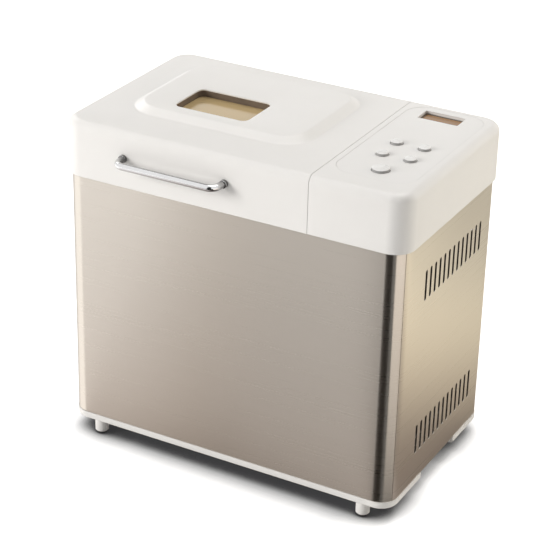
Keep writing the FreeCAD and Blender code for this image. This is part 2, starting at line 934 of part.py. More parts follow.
def viewing_window():
    """Tinted glass plate under the window recess."""
    width = window_width + 2 * glass_margin
    depth = window_depth + 2 * glass_margin
    corner = window_corner_radius + glass_margin
    return rounded_block(width, depth, glass_sheet, corner, window_x, window_y, glass_z)


def window_gasket():
    """Deep seal ring between the lip of the opening and the glass."""
    opening = rounded_block(window_width, window_depth, far, window_corner_radius, window_x, window_y, 0)
    return gasket_block(0, glass_top_z).cut(opening)


def lid_liner():
    """Pressed inner lid: flat field, upturned rim, window collar and steam slots."""
    width = lid_inner_width - 2 * liner_inset
    depth = lid_inner_depth - 2 * liner_inset
    field = rounded_block(width, depth, liner_sheet, liner_corner_radius, lid_x, mid_y, liner_z)
    rim = rounded_frame(width, depth, liner_rim, liner_corner_radius, liner_sheet, lid_x, mid_y, liner_z)
    collar_height = glass_z - liner_z
    place = (window_x, window_y, liner_z)
    collar = rounded_block(window_width, window_depth, collar_height, window_corner_radius, *place)
    hole_width = window_width - 2 * liner_sheet
    hole_depth = window_depth - 2 * liner_sheet
    hole_corner = window_corner_radius - liner_sheet
    cuts = [rounded_block(hole_width, hole_depth, far, hole_corner, window_x, window_y, 0)]
    vent_y = window_y + window_depth / 2 + liner_vent_length
    for number in range(liner_vent_count):
        x = window_x + (number - (liner_vent_count - 1) / 2) * liner_vent_pitch
        cuts.append(slab(x, x + liner_vent_width, vent_y, vent_y + liner_vent_length, 0, far))
    return merged([field, rim, collar]).cut(Part.makeCompound(cuts))


def lid_handle():
    """Bent bar whose splayed ends are cut flat against the lid's front."""
    bar_half = handle_span / 2 - handle_splay
    root_half = handle_span / 2 + handle_splay
    bar_line_y = front_y - handle_reach
    root_y = front_y + handle_reach
    points = [
        Vector(handle_x - root_half, root_y, handle_z),
        Vector(handle_x - bar_half, bar_line_y, handle_z),
        Vector(handle_x + bar_half, bar_line_y, handle_z),
        Vector(handle_x + root_half, root_y, handle_z),
    ]
    rod = bent_rod(points, [handle_bend, handle_bend], handle_rod_diameter / 2)
    return rod.common(slab(-far, far, -far, front_y, 0, far))


def handle_screws():
    """Two screws through the lid's front wall into the posts."""
    screws = []
    wall_y = front_y + cap_wall
    for side in (-1, 1):
        x = handle_x + side * handle_span / 2
        shank = bar_y(handle_screw_radius, front_y, wall_y, x, handle_z)
        head = bar_y(handle_screw_head_radius, wall_y, wall_y + handle_screw_head, x, handle_z)
        screws.append(shank.fuse(head))
    return Part.makeCompound(screws)


def hinge_brackets():
    """Two clevis brackets on the back panel."""
    brackets = []
    ear_start = hinge_lug_width / 2 + hinge_side_gap
    plate_y = skin_back_y + hinge_plate
    low_z = hinge_z - hinge_ear_drop
    high_z = hinge_z + hinge_ear_rise
    for x in hinge_places:
        half_plate = ear_start + hinge_ear_width + hinge_plate_margin
        pieces = [slab(x - half_plate, x + half_plate, skin_back_y, plate_y, low_z, high_z)]
        for side in (-1, 1):
            span = sorted((x + side * ear_start, x + side * (ear_start + hinge_ear_width)))
            foot_y = plate_y - hinge_plate / 2
            pieces.append(knuckle(*span, hinge_knuckle_radius, foot_y, low_z, high_z))
        bore = bar_x(hinge_pin_radius + seated_fit, x - half_plate, x + half_plate, hinge_y, hinge_z)
        brackets.append(merged(pieces).cut(bore))
    return Part.makeCompound(brackets)


def hinge_pins():
    """Headed pins that the lid turns on."""
    pins = []
    reach = hinge_lug_width / 2 + hinge_side_gap + hinge_ear_width
    for x in hinge_places:
        shank = bar_x(hinge_pin_radius, x - reach, x + reach, hinge_y, hinge_z)
        head = bar_x(hinge_pin_head_radius, x - reach - hinge_pin_head, x - reach, hinge_y, hinge_z)
        pins.append(shank.fuse(head).removeSplitter())
    return Part.makeCompound(pins)


def top_deck():
    """Moulded frame under lid and console, with a lip round the oven mouth."""
    plate = rounded_block(inner_width, inner_depth, deck_sheet, inner_corner_radius, 0, mid_y, deck_z)
    skirt_place = (0, mid_y, deck_z - deck_skirt)
    skirt = rounded_frame(inner_width, inner_depth, deck_skirt, inner_corner_radius, deck_wall, *skirt_place)
    mouth_width = oven_width - 2 * oven_sheet
    mouth_depth = oven_depth - 2 * oven_sheet
    mouth_corner = oven_corner_radius - oven_sheet
    lip_width = mouth_width + 2 * deck_lip_wall
    lip_depth = mouth_depth + 2 * deck_lip_wall
    lip_corner = mouth_corner + deck_lip_wall
    lip = rounded_block(lip_width, lip_depth, deck_sheet + deck_lip_height, lip_corner, oven_x, mid_y, deck_z)
    mouth = rounded_block(mouth_width, mouth_depth, far, mouth_corner, oven_x, mid_y, 0)
    cable_window = rounded_block(
        deck_window_width, deck_window_depth, far, deck_window_corner, console_x, mid_y, 0
    )
    return merged([plate, skirt, lip]).cut(Part.makeCompound([mouth, cable_window]))


def lid_bumpers():
    """Rubber stops on the deck that the closed lid comes down on."""
    stops = [disc(bumper_radius, bumper_height, x, y, deck_top_z) for x, y in lid_bumper_places()]
    return Part.makeCompound(stops)


# Console and controls

def small_button_places():
    """Centres of the four small buttons, front row first."""
    places = []
    for row in (small_button_front, small_button_rear):
        for column in (small_button_left, small_button_right):
            places.append((console_x + column, mid_y + row))
    return places


def start_button_place():
    """Centre of the large start button."""
    return (console_x + start_button_offset_x, mid_y + start_button_offset_y)


def control_openings(gap, low_z):
    """Cuts for the display and every button, from one height upwards."""
    cuts = [
        rounded_block(display_width, display_depth, far, display_corner_radius, display_x, display_y, low_z)
    ]
    for x, y in small_button_places():
        cuts.append(disc(small_button_radius + gap, far, x, y, low_z))
    x, y = start_button_place()
    cuts.append(disc(start_button_radius + gap, far, x, y, low_z))
    return cuts


def overlay_block(margin, low_z, height):
    """Field of the control overlay."""
    x = console_x + (overlay_left_margin - overlay_right_margin) / 2
    y = mid_y + (overlay_front_margin - overlay_back_margin) / 2
    width = half_width - console_left_x - overlay_left_margin - overlay_right_margin + 2 * margin
    depth = body_depth - overlay_front_margin - overlay_back_margin + 2 * margin
    return rounded_block(width, depth, height, overlay_corner_radius + margin, x, y, low_z)


def board_places():
    """Centres of the bosses that carry the control board."""
    front = front_y + board_front_margin + board_boss_inset
    rear = display_y - display_depth / 2 - module_margin - board_boss_gap
    left = console_left_x + board_side_margin + board_boss_inset
    right = half_width - board_side_margin - board_boss_inset
    return [(left, front), (left, rear), (right, front), (right, rear)]


def console_housing():
    """Moulded housing of the controls, with bosses for the board and for the deck."""
    outer = cap_block().common(slab(console_left_x, far, -far, far, 0, far))
    hollow = cap_hollow().common(slab(console_left_x + cap_wall, far, -far, far, 0, far))
    shell = outer.cut(hollow)
    additions = []
    boss_top_z = console_ceiling_z + cap_wall / 3
    for x, y in board_places():
        additions.append(disc(board_boss_radius, boss_top_z - board_top_z, x, y, board_top_z))
    for side in (-1, 1):
        for end in (-1, 1):
            half_room = (half_width - console_left_x) / 2
            x = console_x + side * (half_room - cap_wall - console_boss_inset_x)
            y = mid_y + end * (lid_inner_depth / 2 - console_boss_inset_y)
            additions.append(disc(console_boss_radius, boss_top_z - deck_top_z, x, y, deck_top_z))
    shell = merged([shell] + additions)
    recess_z = cap_top_z - overlay_sheet - overlay_sink
    cuts = control_openings(button_gap, board_top_z)
    cuts.append(overlay_block(overlay_fit, recess_z, far))
    return shell.cut(Part.makeCompound(cuts))


def control_overlay():
    """Thin sheet in the console's recess, with holes for the display and the buttons."""
    sheet = overlay_block(0, cap_top_z - overlay_sheet - overlay_sink, overlay_sheet)
    return sheet.cut(Part.makeCompound(control_openings(button_gap, 0)))


def display_lens():
    """Tinted plate behind the display opening."""
    width = display_width + 2 * lens_margin
    depth = display_depth + 2 * lens_margin
    corner = display_corner_radius + lens_margin
    place = (display_x, display_y, console_ceiling_z - lens_sheet)
    return rounded_block(width, depth, lens_sheet, corner, *place)


def display_module():
    """Display body between the board and the lens, with its frame."""
    width = display_width + 2 * module_margin
    depth = display_depth + 2 * module_margin
    height = console_ceiling_z - lens_sheet - slip_fit - board_top_z
    body = rounded_block(width, depth, height, display_corner_radius, display_x, display_y, board_top_z)
    view_place = (display_x, display_y, board_top_z + height / 2)
    view = rounded_block(display_width, display_depth, far, display_corner_radius, *view_place)
    return body.cut(view)


def control_board():
    """Circuit board under the console's top."""
    width = half_width - console_left_x - 2 * board_side_margin
    depth = body_depth - board_front_margin - board_back_margin
    y = mid_y + (board_front_margin - board_back_margin) / 2
    return rounded_block(width, depth, board_sheet, board_corner_radius, console_x, y, board_z)


def button_switches():
    """Push switches on the board, one under each button."""
    switches = []
    for x, y in small_button_places() + [start_button_place()]:
        body = rounded_block(switch_side, switch_side, switch_height, switch_side / 6, x, y, board_top_z)
        plunger = disc(switch_plunger_radius, switch_plunger, x, y, board_top_z + switch_height)
        switches.append(body.fuse(plunger))
    return Part.makeCompound(switches)


def button(radius, place):
    """Crowned button with a retaining flange under the console's top and a stem over its switch."""
    top_z = cap_top_z + button_rise
    flange_top_z = console_ceiling_z - button_rest_gap
    flange_z = flange_top_z - button_flange_sheet
    stem_z = switch_top_z + button_travel + button_rest_gap
    rim_z = top_z - button_crown
    profile = [
        (0, rim_z),
        (radius, rim_z),
        (radius, flange_top_z),
        (radius + button_flange, flange_top_z),
        (radius + button_flange, flange_z),
        (button_stem_radius, flange_z),
        (button_stem_radius, stem_z),
        (0, stem_z),
    ]
    body = turned(profile, *place)
    crown_radius = (radius ** 2 + button_crown ** 2) / (2 * button_crown)
    crown = Part.makeSphere(crown_radius, Vector(*place, top_z - crown_radius))
    crown = crown.common(disc(radius, far, *place, rim_z))
    cap = body.fuse(crown).removeSplitter()
    return cap.makeFillet(button_edge, edges_at_height(cap, rim_z))


# Oven and heating

def oven_chamber():
    """Sheet-metal tub with a flange under the deck and holes for shaft, element and sensor."""
    height = deck_z - oven_z
    place = (oven_x, mid_y, oven_z)
    wall = rounded_frame(oven_width, oven_depth, height, oven_corner_radius, oven_sheet, *place)
    floor = rounded_block(oven_width, oven_depth, oven_sheet, oven_corner_radius, *place)
    flange_z = deck_z - oven_sheet
    flange_width = oven_width + 2 * oven_flange
    flange_depth = oven_depth + 2 * oven_flange
    flange_corner = oven_corner_radius + oven_flange
    flange_wall = oven_flange + oven_sheet
    flange = rounded_frame(
        flange_width, flange_depth, oven_sheet, flange_corner, flange_wall, oven_x, mid_y, flange_z
    )
    cuts = [disc(oven_floor_hole_radius, oven_sheet, oven_x, mid_y, oven_z)]
    for side in (-1, 1):
        y = mid_y + side * element_exit_spacing / 2
        cuts.append(bar_x(element_radius + element_hole_gap, oven_x, shield_x, y, element_z))
    sensor_x = oven_x - sensor_offset_x
    sensor_z = oven_floor_z + sensor_height
    cuts.append(bar_y(sensor_radius + seated_fit, mid_y, back_y, sensor_x, sensor_z))
    return merged([wall, floor, flange]).cut(Part.makeCompound(cuts))


def heating_element():
    """Sheathed rod in one loop round the pan, with both ends out through the right wall."""
    half_x = oven_width / 2 - oven_sheet - element_side_gap
    half_y = oven_depth / 2 - oven_sheet - element_side_gap
    right_x = oven_x + half_x
    end_x = shield_x + shield_sheet + element_exit_length
    exit_y = element_exit_spacing / 2
    points = [
        Vector(end_x, mid_y - exit_y, element_z),
        Vector(right_x, mid_y - exit_y, element_z),
        Vector(right_x, mid_y - half_y, element_z),
        Vector(oven_x - half_x, mid_y - half_y, element_z),
        Vector(oven_x - half_x, mid_y + half_y, element_z),
        Vector(right_x, mid_y + half_y, element_z),
        Vector(right_x, mid_y + exit_y, element_z),
        Vector(end_x, mid_y + exit_y, element_z),
    ]
    bends = [element_exit_bend] + 4 * [element_bend] + [element_exit_bend]
    return bent_rod(points, bends, element_radius)


def element_brackets():
    """Four upright saddles on the oven floor under the element's long runs."""
    saddles = []
    half_y = oven_depth / 2 - oven_sheet - element_side_gap
    half_sheet = element_bracket_sheet / 2
    half_saddle = element_bracket_width / 2
    for side in (-1, 1):
        for end in (-1, 1):
            x = oven_x + side * element_bracket_spread / 2
            y = mid_y + end * half_y
            heights = (oven_floor_z, element_z)
            plate = slab(x - half_sheet, x + half_sheet, y - half_saddle, y + half_saddle, *heights)
            notch = bar_x(element_radius + seated_fit, x - far, x + far, y, element_z)
            saddles.append(plate.cut(notch))
    return Part.makeCompound(saddles)


def temperature_sensor():
    """Probe through the oven's back wall with its body outside."""
    x = oven_x - sensor_offset_x
    z = oven_floor_z + sensor_height
    wall_y = mid_y + oven_depth / 2
    probe = bar_y(sensor_radius, wall_y - oven_sheet - sensor_tip, wall_y, x, z)
    body = bar_y(sensor_body_radius, wall_y, wall_y + sensor_body, x, z)
    return probe.fuse(body)


def thermal_fuse():
    """Fuse barrel under a clip on the oven's front wall."""
    x = oven_right_x - fuse_end_inset
    z = oven_floor_z + fuse_height
    wall_y = mid_y - oven_depth / 2
    clip_y = wall_y - fuse_clip_sheet
    half_clip = fuse_clip_width / 2
    heights = (z - fuse_clip_height / 2, z + fuse_clip_height / 2)
    clip = slab(x - half_clip, x + half_clip, clip_y, wall_y, *heights)
    barrel = bar_x(fuse_radius, x - fuse_length / 2, x + fuse_length / 2, clip_y - fuse_radius / 2, z)
    barrel = barrel.common(slab(-far, far, -far, wall_y, 0, far))
    return clip.fuse(barrel).removeSplitter()


def heat_shield():
    """Folded sheet between oven and motor, with holes for the element's ends."""
    low_y = mid_y - oven_depth / 2 + shield_end_inset
    high_y = mid_y + oven_depth / 2 - shield_end_inset
    top_z = deck_z - shield_top_gap
    sheet = slab(shield_x, shield_x + shield_sheet, low_y, high_y, chassis_top_z, top_z)
    foot_high_y = min(high_y, mid_y + chassis_depth / 2)
    foot_low_y = max(low_y, mid_y - chassis_depth / 2)
    foot_heights = (chassis_top_z, chassis_top_z + shield_sheet)
    foot = slab(shield_x - shield_foot, shield_x + shield_sheet, foot_low_y, foot_high_y, *foot_heights)
    holes = []
    for side in (-1, 1):
        y = mid_y + side * element_exit_spacing / 2
        hole_radius = element_radius + 2 * element_hole_gap
        holes.append(bar_x(hole_radius, shield_x - shield_sheet, shield_x + 2 * shield_sheet, y, element_z))
    return merged([sheet, foot]).cut(Part.makeCompound(holes))


# Chassis and kneading drive

def chassis_plate():
    """Folded steel plate on the tray posts that carries oven, bearing and motor."""
    plate = rounded_block(
        chassis_width, chassis_depth, chassis_sheet, chassis_corner_radius, chassis_x, mid_y, chassis_z
    )
    flanges = []
    low_x = chassis_left_x + chassis_corner_radius
    high_x = chassis_right_x - chassis_corner_radius
    flange_z = chassis_z - chassis_flange
    for side in (-1, 1):
        edge_y = mid_y + side * chassis_depth / 2
        span = sorted((edge_y, edge_y - side * chassis_sheet))
        flanges.append(slab(low_x, high_x, *span, flange_z, chassis_top_z))
    holes = [
        disc(bearing_low_radius + slip_fit, far, oven_x, mid_y, 0),
        disc(motor_clear_radius, far, motor_x, mid_y, 0),
    ]
    for x, y in post_places():
        holes.append(disc(post_pilot_radius + slip_fit, far, x, y, 0))
    return merged([plate] + flanges).cut(Part.makeCompound(holes))


def chamber_standoffs():
    """Four spacers between chassis plate and oven floor."""
    spacers = []
    for side in (-1, 1):
        for end in (-1, 1):
            x = oven_x + side * standoff_spread_x / 2
            y = mid_y + end * standoff_spread_y / 2
            spacers.append(ring(standoff_radius, post_pilot_radius, standoff_height, x, y, chassis_top_z))
    return Part.makeCompound(spacers)


def bearing_housing():
    """Turned housing of the drive shaft, flanged on the chassis plate and stiffened by ribs."""
    bore = drive_shaft_radius + running_fit
    flange_top_z = chassis_top_z + bearing_flange
    profile = [
        (bore, bearing_z),
        (bearing_low_radius, bearing_z),
        (bearing_low_radius, chassis_top_z),
        (bearing_flange_radius, chassis_top_z),
        (bearing_flange_radius, flange_top_z),
        (bearing_high_radius, flange_top_z),
        (bearing_high_radius, bearing_top_z),
        (bore, bearing_top_z),
    ]
    pieces = [turned(profile, oven_x, mid_y)]
    mid_wall = (bore + bearing_high_radius) / 2
    rib_low_z = flange_top_z - bearing_flange / 2
    rib_reach = bearing_flange_radius - bearing_rib_sheet
    rib_profile = [
        (mid_wall, rib_low_z),
        (rib_reach, rib_low_z),
        (rib_reach, flange_top_z),
        (bearing_high_radius, oven_z - slip_fit),
        (mid_wall, oven_z - slip_fit),
    ]
    points = [Vector(radius, -bearing_rib_sheet / 2, height) for radius, height in rib_profile]
    rib_face = Part.Face(Part.makePolygon(points + points[:1]))
    for number in range(bearing_rib_count):
        rib = rib_face.extrude(Vector(0, bearing_rib_sheet, 0))
        rib.rotate(Vector(0, 0, 0), Vector(0, 0, 1), (number + 0.5) * 360 / bearing_rib_count)
        rib.translate(Vector(oven_x, mid_y, 0))
        pieces.append(rib)
    return merged(pieces)


def drive_shaft():
    """Upright shaft from the large pulley to the lower coupling."""
    low_z = pulley_z - drive_shaft_tail
    return disc(drive_shaft_radius, coupling_disc_top_z - low_z, oven_x, mid_y, low_z)


def large_pulley():
    """Flanged belt pulley with a pierced web."""
    bore = drive_shaft_radius + seated_fit
    rim_inner = pulley_radius - pulley_rim
    flange = pulley_radius + pulley_flange
    web_z = pulley_z + (pulley_width - pulley_web) / 2
    web_top_z = web_z + pulley_web
    profile = [
        (bore, pulley_z),
        (pulley_hub_radius, pulley_z),
        (pulley_hub_radius, web_z),
        (rim_inner, web_z),
        (rim_inner, pulley_z),
        (flange, pulley_z),
        (flange, pulley_z + pulley_flange_sheet),
        (pulley_radius, pulley_z + pulley_flange_sheet),
        (pulley_radius, pulley_top_z - pulley_flange_sheet),
        (flange, pulley_top_z - pulley_flange_sheet),
        (flange, pulley_top_z),
        (rim_inner, pulley_top_z),
        (rim_inner, web_top_z),
        (pulley_hub_radius, web_top_z),
        (pulley_hub_radius, pulley_top_z),
        (bore, pulley_top_z),
    ]
    holes = []
    circle = (pulley_hub_radius + rim_inner) / 2
    for number in range(pulley_hole_count):
        angle = number * 2 * math.pi / pulley_hole_count
        x = oven_x + circle * math.cos(angle)
        y = mid_y + circle * math.sin(angle)
        holes.append(disc(pulley_hole_radius, pulley_width, x, y, pulley_z))
    return turned(profile, oven_x, mid_y).cut(Part.makeCompound(holes))


def belt_outline(offset, z):
    """Closed loop round both pulleys at one distance from their faces."""
    large = pulley_radius + offset
    small = motor_pulley_radius + offset
    lean = math.asin((large - small) / (motor_x - oven_x))
    upper = math.pi / 2 - lean

    def point(centre_x, radius, angle):
        return Vector(centre_x + radius * math.cos(angle), mid_y + radius * math.sin(angle), z)

    edges = [
        Part.Arc(
            point(oven_x, large, upper), point(oven_x, large, math.pi), point(oven_x, large, -upper)
        ).toShape(),
        Part.LineSegment(point(oven_x, large, -upper), point(motor_x, small, -upper)).toShape(),
        Part.Arc(
            point(motor_x, small, -upper), point(motor_x, small, 0), point(motor_x, small, upper)
        ).toShape(),
        Part.LineSegment(point(motor_x, small, upper), point(oven_x, large, upper)).toShape(),
    ]
    return Part.Wire(edges)


def drive_belt():
    """Flat belt round the large pulley and the motor pulley."""
    z = pulley_z + (pulley_width - belt_width) / 2
    outer = Part.Face(belt_outline(belt_gap + belt_thickness, z))
    inner = Part.Face(belt_outline(belt_gap, z))
    return outer.cut(inner).extrude(Vector(0, 0, belt_width))


def motor_pulley():
    """Small flanged pulley on the motor shaft."""
    bore = motor_shaft_radius + seated_fit
    flange = motor_pulley_radius + pulley_flange
    profile = [
        (bore, pulley_z),
        (flange, pulley_z),
        (flange, pulley_z + pulley_flange_sheet),
        (motor_pulley_radius, pulley_z + pulley_flange_sheet),
        (motor_pulley_radius, pulley_top_z - pulley_flange_sheet),
        (flange, pulley_top_z - pulley_flange_sheet),
        (flange, pulley_top_z),
        (bore, pulley_top_z),
    ]
    return turned(profile, motor_x, mid_y)


def motor_shaft():
    """Shaft through the motor, from its pulley up to its fan."""
    low_z = pulley_z - motor_shaft_tail
    high_z = fan_z + fan_height + motor_shaft_tail
    return disc(motor_shaft_radius, high_z - low_z, motor_x, mid_y, low_z)


def motor_mount_places():
    """Centres of the rubber mounts under the motor plate."""
    places = []
    for side in (-1, 1):
        for end in (-1, 1):
            reach = motor_plate_side / 2 - motor_mount_inset
            places.append((motor_x + side * reach, mid_y + end * reach))
    return places


def motor():
    """Motor with foot plate, two end bells and a laminated core between them."""
    plate = rounded_block(
        motor_plate_side, motor_plate_side, motor_plate_sheet, motor_plate_corner, motor_x, mid_y, motor_z
    )
    plate_top_z = motor_z + motor_plate_sheet
    bore = motor_shaft_radius + running_fit
    bells = turned(
        [
            (bore, motor_z),
            (motor_bell_radius, motor_z),
            (motor_bell_radius, plate_top_z + motor_low_bell),
            (motor_bell_radius, motor_high_z),
            (motor_bell_radius, motor_nose_z - motor_bell_edge),
            (motor_bell_radius - motor_bell_edge, motor_nose_z),
            (motor_nose_radius, motor_nose_z),
            (motor_nose_radius, motor_nose_z + motor_nose),
            (bore, motor_nose_z + motor_nose),
        ],
        motor_x,
        mid_y,
    )
    core = rounded_block(
        motor_core_side, motor_core_side, motor_core_height, motor_core_corner, motor_x, mid_y, motor_core_z
    )
    hole = disc(bore, far, motor_x, mid_y, 0)
    return merged([plate, bells, core]).cut(hole)


def motor_mounts():
    """Four rubber mounts between chassis plate and motor."""
    return Part.makeCompound(
        [disc(motor_mount_radius, motor_mount_height, x, y, chassis_top_z) for x, y in motor_mount_places()]
    )


def motor_fan():
    """Cooling fan: disc, hub and radial blades."""
    pieces = [
        disc(fan_hub_radius, fan_height, motor_x, mid_y, fan_z),
        disc(fan_radius, fan_disc_sheet, motor_x, mid_y, fan_z),
    ]
    for number in range(fan_blade_count):
        blade = slab(0, fan_radius, -fan_blade_sheet / 2, fan_blade_sheet / 2, fan_z, fan_z + fan_height)
        blade.rotate(Vector(0, 0, 0), Vector(0, 0, 1), number * 360 / fan_blade_count)
        blade.translate(Vector(motor_x, mid_y, 0))
        pieces.append(blade)
    return merged(pieces).cut(disc(motor_shaft_radius + seated_fit, far, motor_x, mid_y, 0))


def motor_capacitor():
    """Run capacitor standing on the tray beside the motor."""
    profile = [
        (0, tray_top_z),
        (capacitor_radius, tray_top_z),
        (capacitor_radius, tray_top_z + capacitor_height - capacitor_edge),
        (capacitor_radius - capacitor_edge, tray_top_z + capacitor_height),
        (0, tray_top_z + capacitor_height),
    ]
    y = mid_y + chassis_depth / 2 + capacitor_gap + capacitor_radius
    return turned(profile, motor_x + capacitor_offset_x, y)


def supply_frame():
    """Face of the power board, and the heights it spans."""
    face_x = shield_x + shield_sheet + supply_standoff
    high_z = deck_z - shield_top_gap - supply_top_gap
    return face_x, high_z - supply_height, high_z


def power_board():
    """Upright circuit board on spacers, with its relay."""
    face_x, low_z, high_z = supply_frame()
    low_y = mid_y - supply_width / 2
    high_y = mid_y + supply_width / 2
    pieces = [slab(face_x, face_x + board_sheet, low_y, high_y, low_z, high_z)]
    for y in (low_y + supply_inset, high_y - supply_inset):
        for z in (low_z + supply_inset, high_z - supply_inset):
            pieces.append(bar_x(supply_standoff_radius, shield_x + shield_sheet, face_x, y, z))
    relay_y = mid_y + relay_offset
    middle_z = (low_z + high_z) / 2
    front_x = face_x + board_sheet
    relay_ends = (relay_y - relay_width / 2, relay_y + relay_width / 2)
    relay_heights = (middle_z - relay_height / 2, middle_z + relay_height / 2)
    relay = slab(front_x, front_x + relay_depth, *relay_ends, *relay_heights)
    return merged(pieces + [relay])


def power_transformer():
    """Laminated transformer on the power board, with its winding between the core's legs."""
    face_x, low_z, high_z = supply_frame()
    front_x = face_x + board_sheet
    y = mid_y + transformer_offset
    middle_z = (low_z + high_z) / 2
    half_core = transformer_core / 2
    half_y = transformer_width / 2
    half_z = transformer_height / 2
    core_x = front_x + transformer_depth / 2
    heights = (middle_z - half_z, middle_z + half_z)
    core = slab(core_x - half_core, core_x + half_core, y - half_y, y + half_y, *heights)
    winding = rounded_block(
        transformer_depth, half_y, transformer_height - half_core, half_core / 2,
        core_x, y, middle_z - half_z + half_core / 2,
    )
    return merged([core, winding])


# Pan seat, couplings and pan

def sector(inner, outer, height, middle_angle, z):
    """Upright block of a ring between two radial faces, about the kneading axis."""
    wedge = ring(outer, inner, height, 0, 0, z)
    half = math.radians(coupling_wing_angle / 2)
    reach = 2 * outer
    tip = Vector(0, 0, z)
    left = Vector(reach * math.cos(half), reach * math.sin(half), z)
    right = Vector(reach * math.cos(half), -reach * math.sin(half), z)
    keep = Part.Face(Part.makePolygon([tip, right, left, tip])).extrude(Vector(0, 0, height))
    block = wedge.common(keep)
    block.rotate(Vector(0, 0, 0), Vector(0, 0, 1), middle_angle)
    block.translate(Vector(oven_x, mid_y, 0))
    return block


def pan_seat():
    """Cast ring on the oven floor that locates the pan, with a gap at each spring clip."""
    wall_inner = pan_base_radius + slip_fit
    wall_outer = wall_inner + seat_wall
    seat_outer_radius = wall_outer + seat_reach
    wall_top_z = seat_top_z + seat_wall_height
    profile = [
        (seat_inner_radius, oven_floor_z),
        (seat_outer_radius, oven_floor_z),
        (seat_outer_radius, seat_top_z),
        (wall_outer, seat_top_z),
        (wall_outer, wall_top_z),
        (wall_inner, wall_top_z),
        (wall_inner, seat_top_z),
        (seat_inner_radius, seat_top_z),
    ]
    seat = turned(profile, oven_x, mid_y)
    half_gap = clip_width / 2 + moving_gap
    for side in (-1, 1):
        span = sorted((oven_x + side * (wall_inner - seat_wall), oven_x + side * (wall_outer + seat_wall)))
        seat = seat.cut(slab(*span, mid_y - half_gap, mid_y + half_gap, seat_top_z, far))
    return seat


def pan_clips():
    """Two leaf springs on the seat that stand against the pan's base."""
    clips = []
    low_x = pan_base_radius + slip_fit
    outline = [
        (low_x + clip_foot, seat_top_z),
        (low_x, seat_top_z),
        (low_x, seat_top_z + clip_height - clip_lean),
        (low_x + clip_lean, seat_top_z + clip_height),
        (low_x + clip_lean + clip_sheet, seat_top_z + clip_height - clip_sheet),
        (low_x + clip_sheet, seat_top_z + clip_height - clip_lean - clip_sheet),
        (low_x + clip_sheet, seat_top_z + clip_sheet),
        (low_x + clip_foot, seat_top_z + clip_sheet),
    ]
    for side in (-1, 1):
        points = [Vector(oven_x + side * x, mid_y - clip_width / 2, z) for x, z in outline]
        face = Part.Face(Part.makePolygon(points + points[:1]))
        clips.append(face.extrude(Vector(0, clip_width, 0)))
    return Part.makeCompound(clips)


def lower_coupling():
    """Driving dog: disc with two upright wings."""
    plate = ring(coupling_radius, drive_shaft_radius + seated_fit, coupling_disc, oven_x, mid_y, coupling_z)
    pieces = [plate]
    for angle in (0, 180):
        height = coupling_disc + coupling_wing_height
        pieces.append(sector(coupling_wing_inner, coupling_radius, height, angle, coupling_z))
    return merged(pieces)


def upper_coupling():
    """Driven dog on the pan shaft: hub with two wings between those of the lower one."""
    top_z = pan_web_z - moving_gap
    height = top_z - upper_coupling_z
    pieces = [disc(coupling_hub_radius, height, oven_x, mid_y, upper_coupling_z)]
    for angle in (90, 270):
        pieces.append(sector(pan_shaft_radius, coupling_radius, height, angle, upper_coupling_z))
    return merged(pieces).cut(disc(pan_shaft_radius + seated_fit, far, oven_x, mid_y, 0))


def pan_form(inset, low_z, high_z):
    """Tapered form of the pan with a round floor edge, moved in from its outer face."""
    share = (low_z - pan_z) / pan_height
    width = pan_bottom_width + 2 * pan_taper * share - 2 * inset
    depth = pan_bottom_depth + 2 * pan_taper * share - 2 * inset
    corner = pan_top_corner - pan_taper * (1 - share) - inset
    flare = -pan_taper * (high_z - low_z) / pan_height
    block = tapered_block(width, depth, high_z - low_z, corner, flare, oven_x, mid_y, low_z)
    return block.makeFillet(pan_floor_round, edges_at_height(block, low_z))


def kneading_ribs():
    """Two round-topped ribs that lean along the pan's long walls."""
    ribs = []
    for side in (-1, 1):
        foot = Vector(oven_x, mid_y + side * (pan_bottom_depth / 2 - pan_sheet), pan_z)
        lean = Vector(0, side * pan_taper, pan_height).normalize()
        ribs.append(Part.makeCylinder(pan_rib_radius, pan_rib_height, foot, lean))
        ribs.append(Part.makeSphere(pan_rib_radius, foot + lean * pan_rib_height))
    return ribs


def bread_pan():
    """Tapered pan with a round floor edge, a beaded rim and two kneading ribs."""
    outer = pan_form(0, pan_z, pan_rim_z)
    inner = pan_form(pan_sheet, pan_floor_z, pan_rim_z + pan_rim_height)
    for rib in kneading_ribs():
        inner = inner.cut(rib)
    rim_width = pan_top_width + 2 * pan_rim
    rim_depth = pan_top_depth + 2 * pan_rim
    rim_low_z = pan_rim_z - pan_rim_height
    rim_corner = pan_top_corner + pan_rim
    rim = rounded_block(rim_width, rim_depth, pan_rim_height, rim_corner, oven_x, mid_y, rim_low_z)
    rim_edges = edges_at_height(rim, pan_rim_z) + edges_at_height(rim, rim_low_z)
    rim = rim.makeFillet(pan_rim_height / 3, rim_edges)
    shaft_hole = disc(bush_radius + seated_fit, 2 * pan_sheet, oven_x, mid_y, pan_z - pan_sheet / 2)
    return merged([outer, rim]).cut(inner).cut(shaft_hole)


def pan_base():
    """Cast foot of the pan: skirt, web that holds the bush, and windows round the skirt."""
    inner = pan_base_radius - pan_base_wall
    profile = [
        (bush_radius + seated_fit, pan_web_z),
        (inner, pan_web_z),
        (inner, pan_base_z),
        (pan_base_radius, pan_base_z),
        (pan_base_radius, pan_z),
        (bush_radius + seated_fit, pan_z),
    ]
    base = turned(profile, oven_x, mid_y)
    for number in range(pan_base_window_count):
        half = pan_base_window_width / 2
        window = slab(0, pan_base_radius * 2, -half, half, pan_base_z, pan_base_z + pan_base_window_height)
        window.rotate(Vector(0, 0, 0), Vector(0, 0, 1), (number + 0.5) * 360 / pan_base_window_count)
        window.translate(Vector(oven_x, mid_y, 0))
        base = base.cut(window)
    return base


